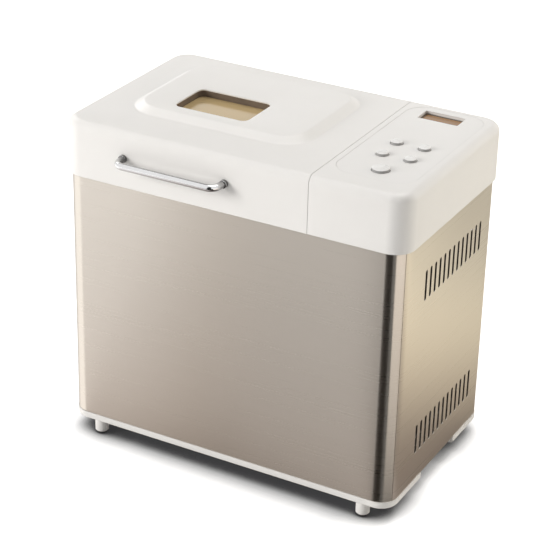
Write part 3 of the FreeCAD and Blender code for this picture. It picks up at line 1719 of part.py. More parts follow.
def shaft_bush():
    """Flanged bush of the pan shaft, through web and pan floor."""
    bore = pan_shaft_radius + running_fit
    profile = [
        (bore, pan_web_z),
        (bush_radius, pan_web_z),
        (bush_radius, pan_floor_z),
        (bush_flange_radius, pan_floor_z),
        (bush_flange_radius, bush_top_z),
        (bore, bush_top_z),
    ]
    return turned(profile, oven_x, mid_y)


def flatted_rod(radius, flat, low_z, high_z):
    """Upright rod on the kneading axis with one flat side."""
    rod = disc(radius, high_z - low_z, oven_x, mid_y, low_z)
    return rod.common(slab(-far, oven_x + flat, -far, far, 0, far))


def pan_shaft():
    """Shaft through the pan, flatted where the paddle sits."""
    low = disc(pan_shaft_radius, bush_top_z - upper_coupling_z, oven_x, mid_y, upper_coupling_z)
    high = flatted_rod(pan_shaft_radius, pan_shaft_flat, bush_top_z, bush_top_z + pan_shaft_rise)
    return low.fuse(high).removeSplitter()


def kneading_paddle():
    """Hub with a curved fin, bored to slip over the flatted shaft."""
    hub = disc(paddle_hub_radius, paddle_hub_height, oven_x, mid_y, paddle_z)
    start_y = mid_y - paddle_blade / 2
    tip_x = oven_x + paddle_reach
    crest_z = paddle_z + paddle_crest
    tip_z = paddle_z + paddle_tip_height
    bow_x = oven_x + (paddle_reach + paddle_hub_radius) / 2
    bow_z = tip_z + (crest_z - tip_z) / 3
    low = Vector(oven_x, start_y, paddle_z)
    toe = Vector(tip_x, start_y, paddle_z)
    tip = Vector(tip_x, start_y, tip_z)
    bow = Vector(bow_x, start_y, bow_z)
    crest = Vector(oven_x, start_y, crest_z)
    outline = Part.Wire([
        Part.LineSegment(low, toe).toShape(),
        Part.LineSegment(toe, tip).toShape(),
        Part.Arc(tip, bow, crest).toShape(),
        Part.LineSegment(crest, low).toShape(),
    ])
    blade = Part.Face(outline).extrude(Vector(0, paddle_blade, 0))
    rounded = [edge for edge in blade.Edges if edge.BoundBox.XMax > tip_x - seated_fit]
    upright = [edge for edge in rounded if edge.BoundBox.YLength > paddle_blade / 2]
    blade = blade.makeFillet(paddle_round, upright)
    paddle = merged([hub, blade])
    bore_radius = pan_shaft_radius + paddle_fit
    bore_top_z = bush_top_z + pan_shaft_rise + slip_fit
    bore = flatted_rod(bore_radius, pan_shaft_flat + paddle_fit, paddle_z, bore_top_z)
    return paddle.cut(bore)


def pan_wall_x(z):
    """Distance from the pan's middle to its end wall at one height."""
    return pan_bottom_width / 2 + pan_taper * (z - pan_z) / pan_height


def pan_ears():
    """Two wedge-shaped ears on the pan's ends, each with a headed stud for the handle."""
    ears = []
    low_z = bail_z - ear_height / 2
    high_z = bail_z + ear_height / 2
    outline = [
        (pan_wall_x(low_z), low_z),
        (pan_wall_x(high_z), high_z),
        (pan_wall_x(high_z) + ear_stand, high_z),
        (pan_wall_x(low_z) + ear_stand, low_z),
    ]
    head_x = bail_arm_x + bail_eye_width / 2 + bail_side_gap
    for side in (-1, 1):
        points = [Vector(oven_x + side * x, mid_y - ear_width / 2, z) for x, z in outline]
        plate = Part.Face(Part.makePolygon(points + points[:1])).extrude(Vector(0, ear_width, 0))
        collar_span = sorted((oven_x + side * pan_wall_x(high_z), oven_x + side * ear_face_x))
        stud_span = sorted((oven_x + side * pan_wall_x(high_z), oven_x + side * head_x))
        head_span = sorted((oven_x + side * head_x, oven_x + side * (head_x + stud_head)))
        collar = bar_x(stud_head_radius, *collar_span, mid_y, bail_z)
        stud = bar_x(stud_radius, *stud_span, mid_y, bail_z)
        head = bar_x(stud_head_radius, *head_span, mid_y, bail_z)
        ears.append(merged([plate, collar, stud, head]))
    return Part.makeCompound(ears)


def pan_handle():
    """Wire bail with an eye on each stud, folded back beside the pan's rim."""
    eye_line_y = mid_y + (bail_eye_radius + stud_radius) / 2
    far_y = mid_y + bail_length
    points = [
        Vector(oven_x - bail_arm_x, eye_line_y, bail_z),
        Vector(oven_x - bail_arm_x, far_y, bail_z),
        Vector(oven_x + bail_arm_x, far_y, bail_z),
        Vector(oven_x + bail_arm_x, eye_line_y, bail_z),
    ]
    pieces = [bent_rod(points, [bail_bend, bail_bend], bail_rod_radius)]
    bores = []
    for side in (-1, 1):
        middle = oven_x + side * bail_arm_x
        low_x = middle - bail_eye_width / 2
        high_x = middle + bail_eye_width / 2
        pieces.append(bar_x(bail_eye_radius, low_x, high_x, mid_y, bail_z))
        bore_span = (low_x - bail_side_gap, high_x + bail_side_gap)
        bores.append(bar_x(stud_radius + bail_fit, *bore_span, mid_y, bail_z))
    return merged(pieces).cut(Part.makeCompound(bores))


def build():
    """Every node of the bread machine by name."""
    builders = [
        base_tray, feet, foot_pads, front_panel, right_side_panel, left_side_panel, back_panel, cord_gland,
        top_deck, lid_bumpers, console_housing, control_overlay, display_lens, display_module,
        control_board, button_switches, lid_shell, viewing_window, window_gasket, lid_liner, lid_handle,
        handle_screws, hinge_brackets, hinge_pins, oven_chamber, heating_element, element_brackets,
        temperature_sensor, thermal_fuse, heat_shield, chassis_plate, chamber_standoffs, bearing_housing,
        drive_shaft, large_pulley, drive_belt, motor_pulley, motor_shaft, motor, motor_mounts, motor_fan,
        motor_capacitor, power_board, power_transformer, pan_seat, pan_clips, lower_coupling,
        upper_coupling, bread_pan, pan_base, shaft_bush, pan_shaft, kneading_paddle, pan_ears, pan_handle,
    ]
    nodes = {builder.__name__: builder() for builder in builders}
    small_names = ("size_button", "crust_button", "menu_button", "timer_button")
    for name, place in zip(small_names, small_button_places()):
        nodes[name] = button(small_button_radius, place)
    nodes["start_button"] = button(start_button_radius, start_button_place())
    return nodes


os.makedirs("parts", exist_ok=True)
for node, shape in build().items():
    shape.exportStep("parts/" + node + ".step")
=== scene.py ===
import json
import math

import bmesh
import bpy
from mathutils import Matrix, Vector


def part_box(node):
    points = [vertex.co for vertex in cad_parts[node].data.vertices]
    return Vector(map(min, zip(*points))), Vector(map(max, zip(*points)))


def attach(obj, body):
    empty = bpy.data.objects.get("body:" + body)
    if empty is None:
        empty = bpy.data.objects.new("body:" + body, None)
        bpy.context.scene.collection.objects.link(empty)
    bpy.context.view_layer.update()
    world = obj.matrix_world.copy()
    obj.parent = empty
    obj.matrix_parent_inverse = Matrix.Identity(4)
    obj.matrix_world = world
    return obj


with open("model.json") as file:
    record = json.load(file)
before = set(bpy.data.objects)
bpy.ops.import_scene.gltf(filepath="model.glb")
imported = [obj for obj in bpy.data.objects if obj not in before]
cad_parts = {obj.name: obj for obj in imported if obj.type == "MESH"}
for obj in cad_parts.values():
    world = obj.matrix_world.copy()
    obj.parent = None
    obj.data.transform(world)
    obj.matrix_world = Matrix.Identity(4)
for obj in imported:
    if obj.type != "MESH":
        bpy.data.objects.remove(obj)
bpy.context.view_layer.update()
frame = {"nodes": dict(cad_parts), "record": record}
scene = bpy.context.scene

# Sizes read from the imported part, in metres
front_low, front_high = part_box("front_panel")
back_low, back_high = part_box("back_panel")
bar_low, bar_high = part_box("lid_handle")
lens_low, lens_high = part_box("display_lens")
BODY_MIDDLE_Y = (front_low.y + back_high.y) / 2
BAR_RADIUS = (bar_high.z - bar_low.z) / 2
BAR_LEVEL = (bar_high.z + bar_low.z) / 2
LENS_MIDDLE = ((lens_low.x + lens_high.x) / 2, (lens_low.y + lens_high.y) / 2)

# Camera, from a fit to the body's edges
IMAGE_SIZE = 555.0
FOCAL_PIXELS = 1893.11
SENSOR = 36.0
CAMERA_DISTANCE = 1.80382
CAMERA_YAW = math.radians(28.01)
CAMERA_PITCH = math.radians(26.696)
CAMERA_ROLL = math.radians(1.496)
CAMERA_FAR = 50.0
AIM_ABOVE_SKIN = 0.1428
AIM_RIGHT = -0.00288
AIM_UP = -0.00025


def place_camera():
    """Long lens from the front right, looking down, with the photograph's slight roll."""
    level = math.cos(CAMERA_PITCH)
    back = Vector((math.sin(CAMERA_YAW) * level, -math.cos(CAMERA_YAW) * level, math.sin(CAMERA_PITCH)))
    right = Vector((0.0, 0.0, 1.0)).cross(back).normalized()
    up = back.cross(right)
    turn_cos = math.cos(CAMERA_ROLL)
    turn_sin = math.sin(CAMERA_ROLL)
    rolled_right = turn_cos * right + turn_sin * up
    rolled_up = turn_cos * up - turn_sin * right
    spot = Vector((0.0, BODY_MIDDLE_Y, front_low.z + AIM_ABOVE_SKIN)) + back * CAMERA_DISTANCE
    spot += rolled_right * AIM_RIGHT + rolled_up * AIM_UP
    matrix = Matrix.Identity(4)
    for column, axis in enumerate((rolled_right, rolled_up, back, spot)):
        for row in range(3):
            matrix[row][column] = axis[row]
    data = bpy.data.cameras.new("photo_camera")
    data.sensor_width = SENSOR
    data.lens = SENSOR * FOCAL_PIXELS / IMAGE_SIZE
    data.clip_end = CAMERA_FAR
    camera = bpy.data.objects.new("photo_camera", data)
    camera.matrix_world = matrix
    scene.collection.objects.link(camera)
    scene.camera = camera


# Colour and node helpers

EDGE_SAMPLES = 6
RIM_TURNED = 0.80
RIM_FLAT = 0.99


def scaled(colour, share):
    """A colour made lighter or darker."""
    return tuple(channel * share for channel in colour)


def grey(share):
    """Neutral tone."""
    return (share, share, share)


class Shader:
    """A material under construction, with short calls for the nodes it uses."""

    def __init__(self, name):
        self.material = bpy.data.materials.new(name)
        self.material.use_nodes = True
        self.nodes = self.material.node_tree.nodes
        self.links = self.material.node_tree.links
        self.bsdf = self.nodes["Principled BSDF"]
        self.coordinates = self.nodes.new("ShaderNodeTexCoord").outputs["Object"]

    def feed(self, target, source):
        """Gives an input another node's output, a colour or a number."""
        if isinstance(source, bpy.types.NodeSocket):
            self.links.new(source, target)
        elif isinstance(source, tuple):
            target.default_value = (*source, 1.0)
        else:
            target.default_value = source

    def surface(self, socket, source):
        """Feeds an input of the main shader."""
        self.feed(self.bsdf.inputs[socket], source)

    def calculate(self, operation, *sources):
        """Result of an operation on grey values and numbers."""
        node = self.nodes.new("ShaderNodeMath")
        node.operation = operation
        for target, source in zip(node.inputs, sources):
            self.feed(target, source)
        return node.outputs[0]

    def axes(self, source):
        """Parts of a vector along X, Y and Z."""
        split = self.nodes.new("ShaderNodeSeparateXYZ")
        self.feed(split.inputs[0], source)
        return split.outputs

    def noise(self, scale, detail=3.0, roughness=0.5, stretch=(1.0, 1.0, 1.0)):
        """Noise in metres, drawn out along the axes by their share."""
        mapping = self.nodes.new("ShaderNodeMapping")
        mapping.inputs["Scale"].default_value = stretch
        self.feed(mapping.inputs["Vector"], self.coordinates)
        noise = self.nodes.new("ShaderNodeTexNoise")
        noise.inputs["Scale"].default_value = scale
        noise.inputs["Detail"].default_value = detail
        noise.inputs["Roughness"].default_value = roughness
        self.feed(noise.inputs["Vector"], mapping.outputs["Vector"])
        return noise.outputs["Fac"]

    def spread(self, source, low, high, start=0.3, end=0.7):
        """Maps a grey value to a range."""
        node = self.nodes.new("ShaderNodeMapRange")
        node.inputs["From Min"].default_value = start
        node.inputs["From Max"].default_value = end
        node.inputs["To Min"].default_value = low
        node.inputs["To Max"].default_value = high
        self.feed(node.inputs["Value"], source)
        return node.outputs["Result"]

    def colours(self, source, stops):
        """Maps a grey value to colours at their places."""
        ramp = self.nodes.new("ShaderNodeValToRGB")
        elements = ramp.color_ramp.elements
        while len(elements) < len(stops):
            elements.new(0.5)
        for element, (place, colour) in zip(elements, stops):
            element.position = place
            element.color = (*colour, 1.0)
        self.feed(ramp.inputs["Fac"], source)
        return ramp.outputs["Color"]

    def shades(self, source, colour, dark, light, start=0.3, end=0.7):
        """Varies one colour from a dark to a light share of it."""
        return self.colours(source, [(start, scaled(colour, dark)), (end, scaled(colour, light))])

    def run(self, source, low, high, stops):
        """Colours along a stretch of a measure."""
        return self.colours(self.spread(source, 0.0, 1.0, low, high), stops)

    def mix(self, share, first, second, blend="MIX"):
        """Blends two colours by a share."""
        node = self.nodes.new("ShaderNodeMix")
        node.data_type = "RGBA"
        node.blend_type = blend
        self.feed(node.inputs["Factor"], share)
        self.feed(node.inputs["A"], first)
        self.feed(node.inputs["B"], second)
        return node.outputs["Result"]

    def openness(self, reach, closed, free, samples=8):
        """Grey value from 0 in a closed corner to 1 in the open, within a reach."""
        occlusion = self.nodes.new("ShaderNodeAmbientOcclusion")
        occlusion.samples = samples
        self.feed(occlusion.inputs["Distance"], reach)
        return self.spread(occlusion.outputs["AO"], 0.0, 1.0, closed, free)

    def crevices(self, colour, tint, reach, closed=0.15, free=0.75):
        """Darkens a colour towards a tint where surfaces meet, by ambient occlusion: painted shade."""
        return self.mix(self.openness(reach, closed, free), tint, colour)

    def soft_normal(self, radius):
        """Normal that is rounded over the edges by a small radius."""
        bevel = self.nodes.new("ShaderNodeBevel")
        bevel.samples = EDGE_SAMPLES
        bevel.inputs["Radius"].default_value = radius
        return bevel.outputs["Normal"]

    def true_normal(self):
        """Normal of the surface itself."""
        return self.nodes.new("ShaderNodeNewGeometry").outputs["Normal"]

    def rims(self, radius):
        """Grey value that rises towards 1 along the edges."""
        match = self.nodes.new("ShaderNodeVectorMath")
        match.operation = "DOT_PRODUCT"
        self.feed(match.inputs[0], self.soft_normal(radius))
        self.feed(match.inputs[1], self.true_normal())
        return self.spread(match.outputs["Value"], 1.0, 0.0, RIM_TURNED, RIM_FLAT)

    def worn(self, colour, tint, radius, patches):
        """Rubs a colour towards a tint along the edges, in patches."""
        patch = self.noise(patches, detail=4.0, roughness=0.6)
        rubbed = self.spread(patch, low=0.15, high=0.9, start=0.35, end=0.65)
        return self.mix(self.calculate("MULTIPLY", self.rims(radius), rubbed), colour, tint)

    def uprightness(self, low, high):
        """Grey value from 0 to 1 as the surface turns from facing down or sideways to facing up."""
        return self.spread(self.axes(self.true_normal())["Z"], 0.0, 1.0, low, high)

    def inside(self, middle, half, fade):
        """Grey value that is 1 inside a level rectangle and 0 from its border on."""
        shares = []
        place = self.axes(self.coordinates)
        for axis, centre, reach in zip("XY", middle, half):
            distance = self.calculate("ABSOLUTE", self.calculate("SUBTRACT", place[axis], centre))
            shares.append(self.spread(distance, 1.0, 0.0, reach - fade, reach))
        return self.calculate("MULTIPLY", *shares)

    def relief(self, height, strength, distance, edge):
        """Bump from a grey value, over edges softened by a small radius."""
        bump = self.nodes.new("ShaderNodeBump")
        bump.inputs["Strength"].default_value = strength
        bump.inputs["Distance"].default_value = distance
        self.feed(bump.inputs["Height"], height)
        self.feed(bump.inputs["Normal"], self.soft_normal(edge))
        self.surface("Normal", bump.outputs["Normal"])

    def glow(self, colour):
        """Makes the material shine with a colour."""
        lamp = self.nodes.new("ShaderNodeEmission")
        self.feed(lamp.inputs["Color"], colour)
        self.feed(self.nodes["Material Output"].inputs["Surface"], lamp.outputs[0])


# Materials

def moulded_plastic(name, colour, rough, grain_scale, grain_depth, skirt=None):
    """Moulded plastic: cloudy tone, fine skin, painted shade and dust in the crevices, rubbed edges, and
    painted shade on the sides in the skirt colour if given.
    """
    shader = Shader(name)
    cloud = shader.noise(scale=9.0, detail=4.0, roughness=0.6)
    tone = shader.shades(cloud, colour, dark=0.975, light=1.012)
    if skirt:
        # Painted shade: sides that don't face up take the darker skirt colour
        tone = shader.mix(shader.uprightness(low=0.25, high=0.8), skirt, tone)
    # Painted shade and dust where surfaces meet, darkened by ambient occlusion
    dust_and_shade = shader.crevices(tone, scaled(colour, 0.8), reach=0.003)
    shader.surface("Base Color", shader.worn(dust_and_shade, scaled(colour, 0.93), radius=0.0012, patches=60.0))
    smudge = shader.noise(scale=38.0, detail=5.0, roughness=0.65)
    shader.surface("Roughness", shader.spread(smudge, rough * 0.86, rough * 1.16))
    grain = shader.noise(grain_scale, detail=2.0)
    shader.relief(grain, strength=0.25, distance=grain_depth, edge=0.0007)
    return shader.material


def brushed_metal(name, colour, rough, stretch, anisotropy, depth):
    """Sheet metal with fine brushing along one direction, soft smears and a cloudy tone."""
    shader = Shader(name)
    strand = shader.noise(scale=1.0, detail=4.0, roughness=0.6, stretch=stretch)
    cloud = shader.noise(scale=7.0)
    streaks = shader.shades(strand, colour, dark=0.98, light=1.016, start=0.25, end=0.75)
    smears = shader.shades(cloud, colour, dark=0.97, light=1.025)
    sheet = shader.mix(0.45, streaks, smears)
    shader.surface("Base Color", shader.worn(sheet, scaled(colour, 1.2), radius=0.0008, patches=45.0))
    shader.surface("Metallic", 1.0)
    shader.surface("Anisotropic", anisotropy)
    shader.surface("Anisotropic Rotation", 0.25)
    shader.surface("Roughness", shader.spread(strand, rough * 0.97, rough * 1.03))
    shader.relief(strand, strength=0.008, distance=depth, edge=0.0005)
    return shader.material


def polished_metal(name, colour, rough, reach, closed, free):
    """Plated or turned metal with faint marks, a painted dark reflection on its underside and painted shade
    where it faces its neighbours.
    """
    shader = Shader(name)
    marks = shader.noise(scale=55.0, detail=6.0, roughness=0.7)
    tone = shader.shades(marks, colour, dark=0.94, light=1.0)
    # Painted shade where the metal faces its neighbours
    shaded = shader.crevices(tone, scaled(colour, 0.12), reach, closed, free)
    # Painted reflection of the dark floor on the surfaces that face down
    facing = shader.uprightness(low=-0.60, high=-0.15)
    shader.surface("Base Color", shader.mix(facing, scaled(colour, 0.30), shaded))
    shader.surface("Metallic", 1.0)
    shader.surface("Roughness", shader.spread(marks, rough * 0.7, rough * 1.5))
    grain = shader.noise(scale=700.0, detail=2.0)
    shader.relief(grain, strength=0.08, distance=0.00004, edge=0.0004)
    return shader.material


def cast_metal(name, colour, rough):
    """Cast metal with a sandy skin and painted shade in its crevices."""
    shader = Shader(name)
    sand = shader.noise(scale=900.0, detail=4.0, roughness=0.6)
    cloud = shader.noise(scale=22.0, detail=4.0, roughness=0.6)
    tone = shader.shades(cloud, colour, dark=0.86, light=1.06)
    # Painted shade in the crevices
    shader.surface("Base Color", shader.crevices(tone, scaled(colour, 0.35), reach=0.004))
    shader.surface("Metallic", 1.0)
    shader.surface("Roughness", shader.spread(sand, rough * 0.85, rough * 1.15))
    shader.relief(sand, strength=0.4, distance=0.00012, edge=0.0006)
    return shader.material


def coated_metal(name, colour, fleck):
    """Dark non-stick coating with fine flecks."""
    shader = Shader(name)
    cells = shader.nodes.new("ShaderNodeTexVoronoi")
    cells.inputs["Scale"].default_value = 480.0
    shader.feed(cells.inputs["Vector"], shader.coordinates)
    flecks = shader.colours(cells.outputs["Distance"], [(0.10, fleck), (0.22, colour)])
    cloud = shader.noise(scale=16.0, detail=4.0, roughness=0.6)
    worn = shader.shades(cloud, colour, dark=0.85, light=1.25, start=0.35, end=0.75)
    shader.surface("Base Color", shader.mix(0.5, flecks, worn))
    shader.surface("Metallic", 0.25)
    shader.surface("Roughness", shader.spread(cloud, 0.34, 0.48))
    grain = shader.noise(scale=1100.0)
    shader.relief(grain, strength=0.2, distance=0.00006, edge=0.0006)
    return shader.material


def tinted_plate(name, colour, rough, clear, border=None):
    """Tinted glass or lens with faint smears, and a dark border outside a rectangle if one is given."""
    shader = Shader(name)
    cloud = shader.noise(scale=18.0)
    tone = shader.shades(cloud, colour, dark=0.93, light=1.05)
    if border:
        tone = shader.mix(shader.inside(*border), scaled(colour, 0.25), tone)
    shader.surface("Base Color", tone)
    shader.surface("Roughness", shader.spread(cloud, rough * 0.7, rough * 1.5))
    shader.surface("Transmission Weight", clear)
    shader.surface("IOR", 1.46)
    shader.surface("Coat Weight", 0.35)
    shader.surface("Coat Roughness", 0.06)
    ripple = shader.noise(scale=260.0, detail=2.0)
    shader.relief(ripple, strength=0.04, distance=0.00003, edge=0.0004)
    return shader.material


def soft_rubber(name, colour):
    """Matt rubber with a bloom and a fine grain."""
    shader = Shader(name)
    bloom = shader.noise(scale=70.0, detail=5.0, roughness=0.65)
    shader.surface("Base Color", shader.shades(bloom, colour, dark=1.0, light=1.5, end=0.75))
    shader.surface("Roughness", shader.spread(bloom, 0.62, 0.82))
    shader.surface("Specular IOR Level", 0.3)
    grain = shader.noise(scale=1500.0, detail=2.0)
    shader.relief(grain, strength=0.3, distance=0.00008, edge=0.0005)
    return shader.material


def circuit_laminate(name, colour, trace):
    """Circuit board with rows of traces under the solder mask."""
    shader = Shader(name)
    weave = shader.nodes.new("ShaderNodeTexBrick")
    weave.inputs["Scale"].default_value = 90.0
    weave.inputs["Mortar Size"].default_value = 0.035
    shader.feed(weave.inputs["Color1"], colour)
    shader.feed(weave.inputs["Color2"], scaled(colour, 1.25))
    shader.feed(weave.inputs["Mortar"], trace)
    shader.feed(weave.inputs["Vector"], shader.coordinates)
    shader.surface("Base Color", weave.outputs["Color"])
    grain = shader.noise(scale=400.0)
    shader.surface("Roughness", shader.spread(grain, 0.3, 0.45))
    shader.relief(grain, strength=0.2, distance=0.00005, edge=0.0004)
    return shader.material


BRUSH_LEVEL = (2.5, 2.5, 1400.0)
BRUSH_FINE = (60.0, 60.0, 900.0)
# Painted shade on the buttons' sides
BUTTON_SIDE_SHADE = (0.33, 0.325, 0.32)
LENS_CLEAR_HALF = (0.0182, 0.0082)
LENS_FADE = 0.0010
LENS_BORDER = (LENS_MIDDLE, LENS_CLEAR_HALF, LENS_FADE)

# Each slot's recipe, followed by the recipe's values after the name
RECIPES = {
    "white_shell": (moulded_plastic, (0.86, 0.843, 0.82), 0.34, 900.0, 0.00003),
    "white_base": (moulded_plastic, (0.84, 0.825, 0.80), 0.46, 1300.0, 0.00006),
    "brushed_skin": (brushed_metal, (0.68, 0.635, 0.575), 0.28, BRUSH_LEVEL, 0.97, 0.00003),
    "chrome_bar": (polished_metal, (0.80, 0.80, 0.81), 0.07, 0.04, 0.50, 0.93),
    "tinted_glass": (tinted_plate, (0.65, 0.485, 0.25), 0.10, 0.15),
    "display_tint": (tinted_plate, (0.32, 0.155, 0.040), 0.16, 0.12, LENS_BORDER),
    "overlay_film": (moulded_plastic, (0.855, 0.84, 0.82), 0.42, 1600.0, 0.00003),
    "button_cap": (moulded_plastic, (0.86, 0.85, 0.835), 0.28, 1000.0, 0.00003, BUTTON_SIDE_SHADE),
    "soft_rubber": (soft_rubber, (0.045, 0.045, 0.046)),
    "seal_rubber": (soft_rubber, (0.135, 0.105, 0.08)),
    "grey_deck": (moulded_plastic, (0.50, 0.495, 0.485), 0.5, 1300.0, 0.00006),
    "liner_sheet": (brushed_metal, (0.70, 0.70, 0.69), 0.36, BRUSH_FINE, 0.2, 0.00003),
    "oven_sheet": (brushed_metal, (0.50, 0.495, 0.48), 0.42, BRUSH_FINE, 0.2, 0.00004),
    "chassis_zinc": (brushed_metal, (0.56, 0.57, 0.58), 0.40, BRUSH_FINE, 0.1, 0.00003),
    "element_sheath": (cast_metal, (0.16, 0.15, 0.145), 0.5),
    "coated_pan": (coated_metal, (0.055, 0.055, 0.058), grey(0.22)),
    "cast_metal": (cast_metal, grey(0.52), 0.45),
    "turned_steel": (polished_metal, (0.60, 0.60, 0.61), 0.26, 0.03, 0.30, 0.80),
    "circuit_laminate": (circuit_laminate, (0.02, 0.12, 0.05), (0.05, 0.20, 0.09)),
    "black_plastic": (moulded_plastic, (0.035, 0.035, 0.037), 0.45, 1300.0, 0.00006),
    "motor_case": (cast_metal, (0.38, 0.38, 0.39), 0.5),
    "belt_rubber": (soft_rubber, grey(0.02)),
}
MATERIALS = {name: recipe(name, *values) for name, (recipe, *values) in RECIPES.items()}


# Smooth shading over the solids' facets

WELD_DISTANCE = 2e-6
SMOOTH_BELOW = math.radians(32)


def smoothing_group():
    """Node group that joins split vertices and smooths every edge flatter than its limit."""
    group = bpy.data.node_groups.new("smooth_facets", "GeometryNodeTree")
    group.interface.new_socket("Geometry", in_out="INPUT", socket_type="NodeSocketGeometry")
    group.interface.new_socket("Geometry", in_out="OUTPUT", socket_type="NodeSocketGeometry")
    nodes = group.nodes
    start = nodes.new("NodeGroupInput")
    end = nodes.new("NodeGroupOutput")
    weld = nodes.new("GeometryNodeMergeByDistance")
    weld.inputs["Distance"].default_value = WELD_DISTANCE
    angle = nodes.new("GeometryNodeInputMeshEdgeAngle")
    flat = nodes.new("FunctionNodeCompare")
    flat.operation = "LESS_THAN"
    flat.inputs[1].default_value = SMOOTH_BELOW
    faces = nodes.new("GeometryNodeSetShadeSmooth")
    faces.domain = "FACE"
    edges = nodes.new("GeometryNodeSetShadeSmooth")
    edges.domain = "EDGE"
    links = group.links
    links.new(start.outputs[0], weld.inputs["Geometry"])
    links.new(weld.outputs["Geometry"], faces.inputs["Geometry"])
    links.new(faces.outputs["Geometry"], edges.inputs["Geometry"])
    links.new(angle.outputs["Unsigned Angle"], flat.inputs[0])
    links.new(flat.outputs["Result"], edges.inputs["Shade Smooth"])
    links.new(edges.outputs["Geometry"], end.inputs[0])
    return group


def dress_nodes():
    """Gives each solid its slot's material and smooth shading."""
    group = smoothing_group()
    slots = {entry["node"]: entry["material_slot"] for entry in frame["record"]["subparts"]}
    for name, node in frame["nodes"].items():
        material = MATERIALS[slots[name]]
        if not node.material_slots:
            node.data.materials.append(material)
        for slot in node.material_slots:
            slot.link = "OBJECT"
            slot.material = material
        modifier = node.modifiers.new("smooth_facets", "NODES")
        modifier.node_group = group


# Small pieces made here, in metres

QUARTER = math.radians(90)
PIECE_SMOOTH_BELOW = math.radians(40)
COLLAR_PLAY = 0.0001
COLLAR_OVERSIZE = 0.0006
COLLAR_HEIGHT = 0.0034
COLLAR_LIP = 0.0004
SEAM_GAP = 1e-7
SCREW_RADIUS = 0.0036
SCREW_HEIGHT = 0.0020
SCREW_RECESS = 0.0012
SCREW_INSET = 0.010


def add_piece(name, mesh, place, body, slot):
    """Puts a bmesh in the scene on a body, with its slot's material and smooth flanks."""
    bmesh.ops.recalc_face_normals(mesh, faces=mesh.faces)
    data = bpy.data.meshes.new(name)
    mesh.to_mesh(data)
    mesh.free()
    data.materials.append(MATERIALS[slot])
    data.shade_smooth()
    data.set_sharp_from_angle(angle=PIECE_SMOOTH_BELOW)
    piece = bpy.data.objects.new(name, data)
    piece.matrix_world = place
    scene.collection.objects.link(piece)
    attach(piece, body)


def collar_mesh(bore, outer, height, lip):
    """Turned collar: a ring with a bore, a rounded lip and a flat foot at its origin."""
    sides = 40
    lip_steps = 4
    mesh = bmesh.new()
    profile = [(bore, 0.0), (outer, 0.0), (outer, height - lip)]
    for step in range(1, lip_steps + 1):
        turn = QUARTER * step / lip_steps
        profile.append((outer - lip + lip * math.cos(turn), height - lip + lip * math.sin(turn)))
    profile.append((bore, height))
    line = [mesh.verts.new((radius, 0.0, level)) for radius, level in profile]
    edges = [mesh.edges.new((first, second)) for first, second in zip(line, line[1:] + line[:1])]
    bmesh.ops.spin(mesh, geom=line + edges, cent=(0, 0, 0), axis=(0, 0, 1), angle=math.tau, steps=sides)
    bmesh.ops.remove_doubles(mesh, verts=mesh.verts, dist=SEAM_GAP)
    return mesh


def screw_mesh(radius, height, recess):
    """Domed screw head with a cross recess, its foot at its origin."""
    sides = 32
    ring_count = 6
    crown = 0.42
    skirt = 0.35
    arm = radius * 0.11
    tip = radius * 0.44
    taper = 0.7
    mesh = bmesh.new()
    angles = [math.tau * side / sides for side in range(sides)]
    rings = []
    for step in range(ring_count):
        turn = QUARTER * step / (ring_count + 1)
        reach = radius * (crown + (1 - crown) * math.cos(turn))
        level = height * (skirt + (1 - skirt) * math.sin(turn)) if step else 0.0
        rings.append([mesh.verts.new((reach * math.cos(a), reach * math.sin(a), level)) for a in angles])
    top = rings[-1][0].co.z
    for low, high in zip(rings, rings[1:]):
        for side in range(sides):
            after = (side + 1) % sides
            mesh.faces.new((low[side], low[after], high[after], high[side]))
    outline = []
    for turns in range(4):
        for x, y in ((tip, -arm), (tip, arm), (arm, arm)):
            turned = Vector((x, y, 0.0))
            turned.rotate(Matrix.Rotation(turns * QUARTER, 3, "Z"))
            outline.append(turned)
    mouth = [mesh.verts.new((point.x, point.y, top)) for point in outline]
    floor = [mesh.verts.new((point.x * taper, point.y * taper, top - recess)) for point in outline]
    count = len(outline)
    rim = [mesh.edges.new((mouth[i], mouth[(i + 1) % count])) for i in range(count)]
    crest = [mesh.edges.get((rings[-1][i], rings[-1][(i + 1) % sides])) for i in range(sides)]
    bmesh.ops.triangle_fill(mesh, use_beauty=True, edges=crest + rim)
    for i in range(count):
        after = (i + 1) % count
        mesh.faces.new((mouth[i], mouth[after], floor[after], floor[i]))
    mesh.faces.new(floor)
    return mesh


def place_small_pieces():
    """Collars at the handle's roots and screws in the back panel."""
    bore = BAR_RADIUS + COLLAR_PLAY
    outer = BAR_RADIUS + COLLAR_OVERSIZE
    forward = Matrix.Rotation(QUARTER, 4, "X")
    for name, x in (("left_collar", bar_low.x + BAR_RADIUS), ("right_collar", bar_high.x - BAR_RADIUS)):
        place = Matrix.Translation((x, bar_high.y, BAR_LEVEL)) @ forward
        add_piece(name, collar_mesh(bore, outer, COLLAR_HEIGHT, COLLAR_LIP), place, "lid", "chrome_bar")
    backward = Matrix.Rotation(-QUARTER, 4, "X")
    for column, x in enumerate((back_low.x + SCREW_INSET, 0.0, back_high.x - SCREW_INSET)):
        for row, z in enumerate((back_low.z + SCREW_INSET, back_high.z - SCREW_INSET)):
            place = Matrix.Translation((x, back_high.y, z)) @ backward
            screw = screw_mesh(SCREW_RADIUS, SCREW_HEIGHT, SCREW_RECESS)
            add_piece(f"back_screw_{column}_{row}", screw, place, "machine", "turned_steel")


# Floor

FLOOR_HALF = 7.0
FLOOR_LEVEL = -0.0005
FLOOR_LIFT = 0.62
# Colour of the painted contact shadow, where ambient occlusion darkens the floor
PAINTED_CONTACT_SHADOW = (0.05, 0.05, 0.052)
CONTACT_CLOSED = 0.40
CONTACT_FREE = 0.90
CONTACT_SAMPLES = 24

# How far the painted contact shadow reaches in metres, from the machine's left end to its right end
CONTACT_REACH = [(0.0, grey(0.027)), (0.3, grey(0.034)), (0.85, grey(0.037)), (1.0, grey(0.025))]


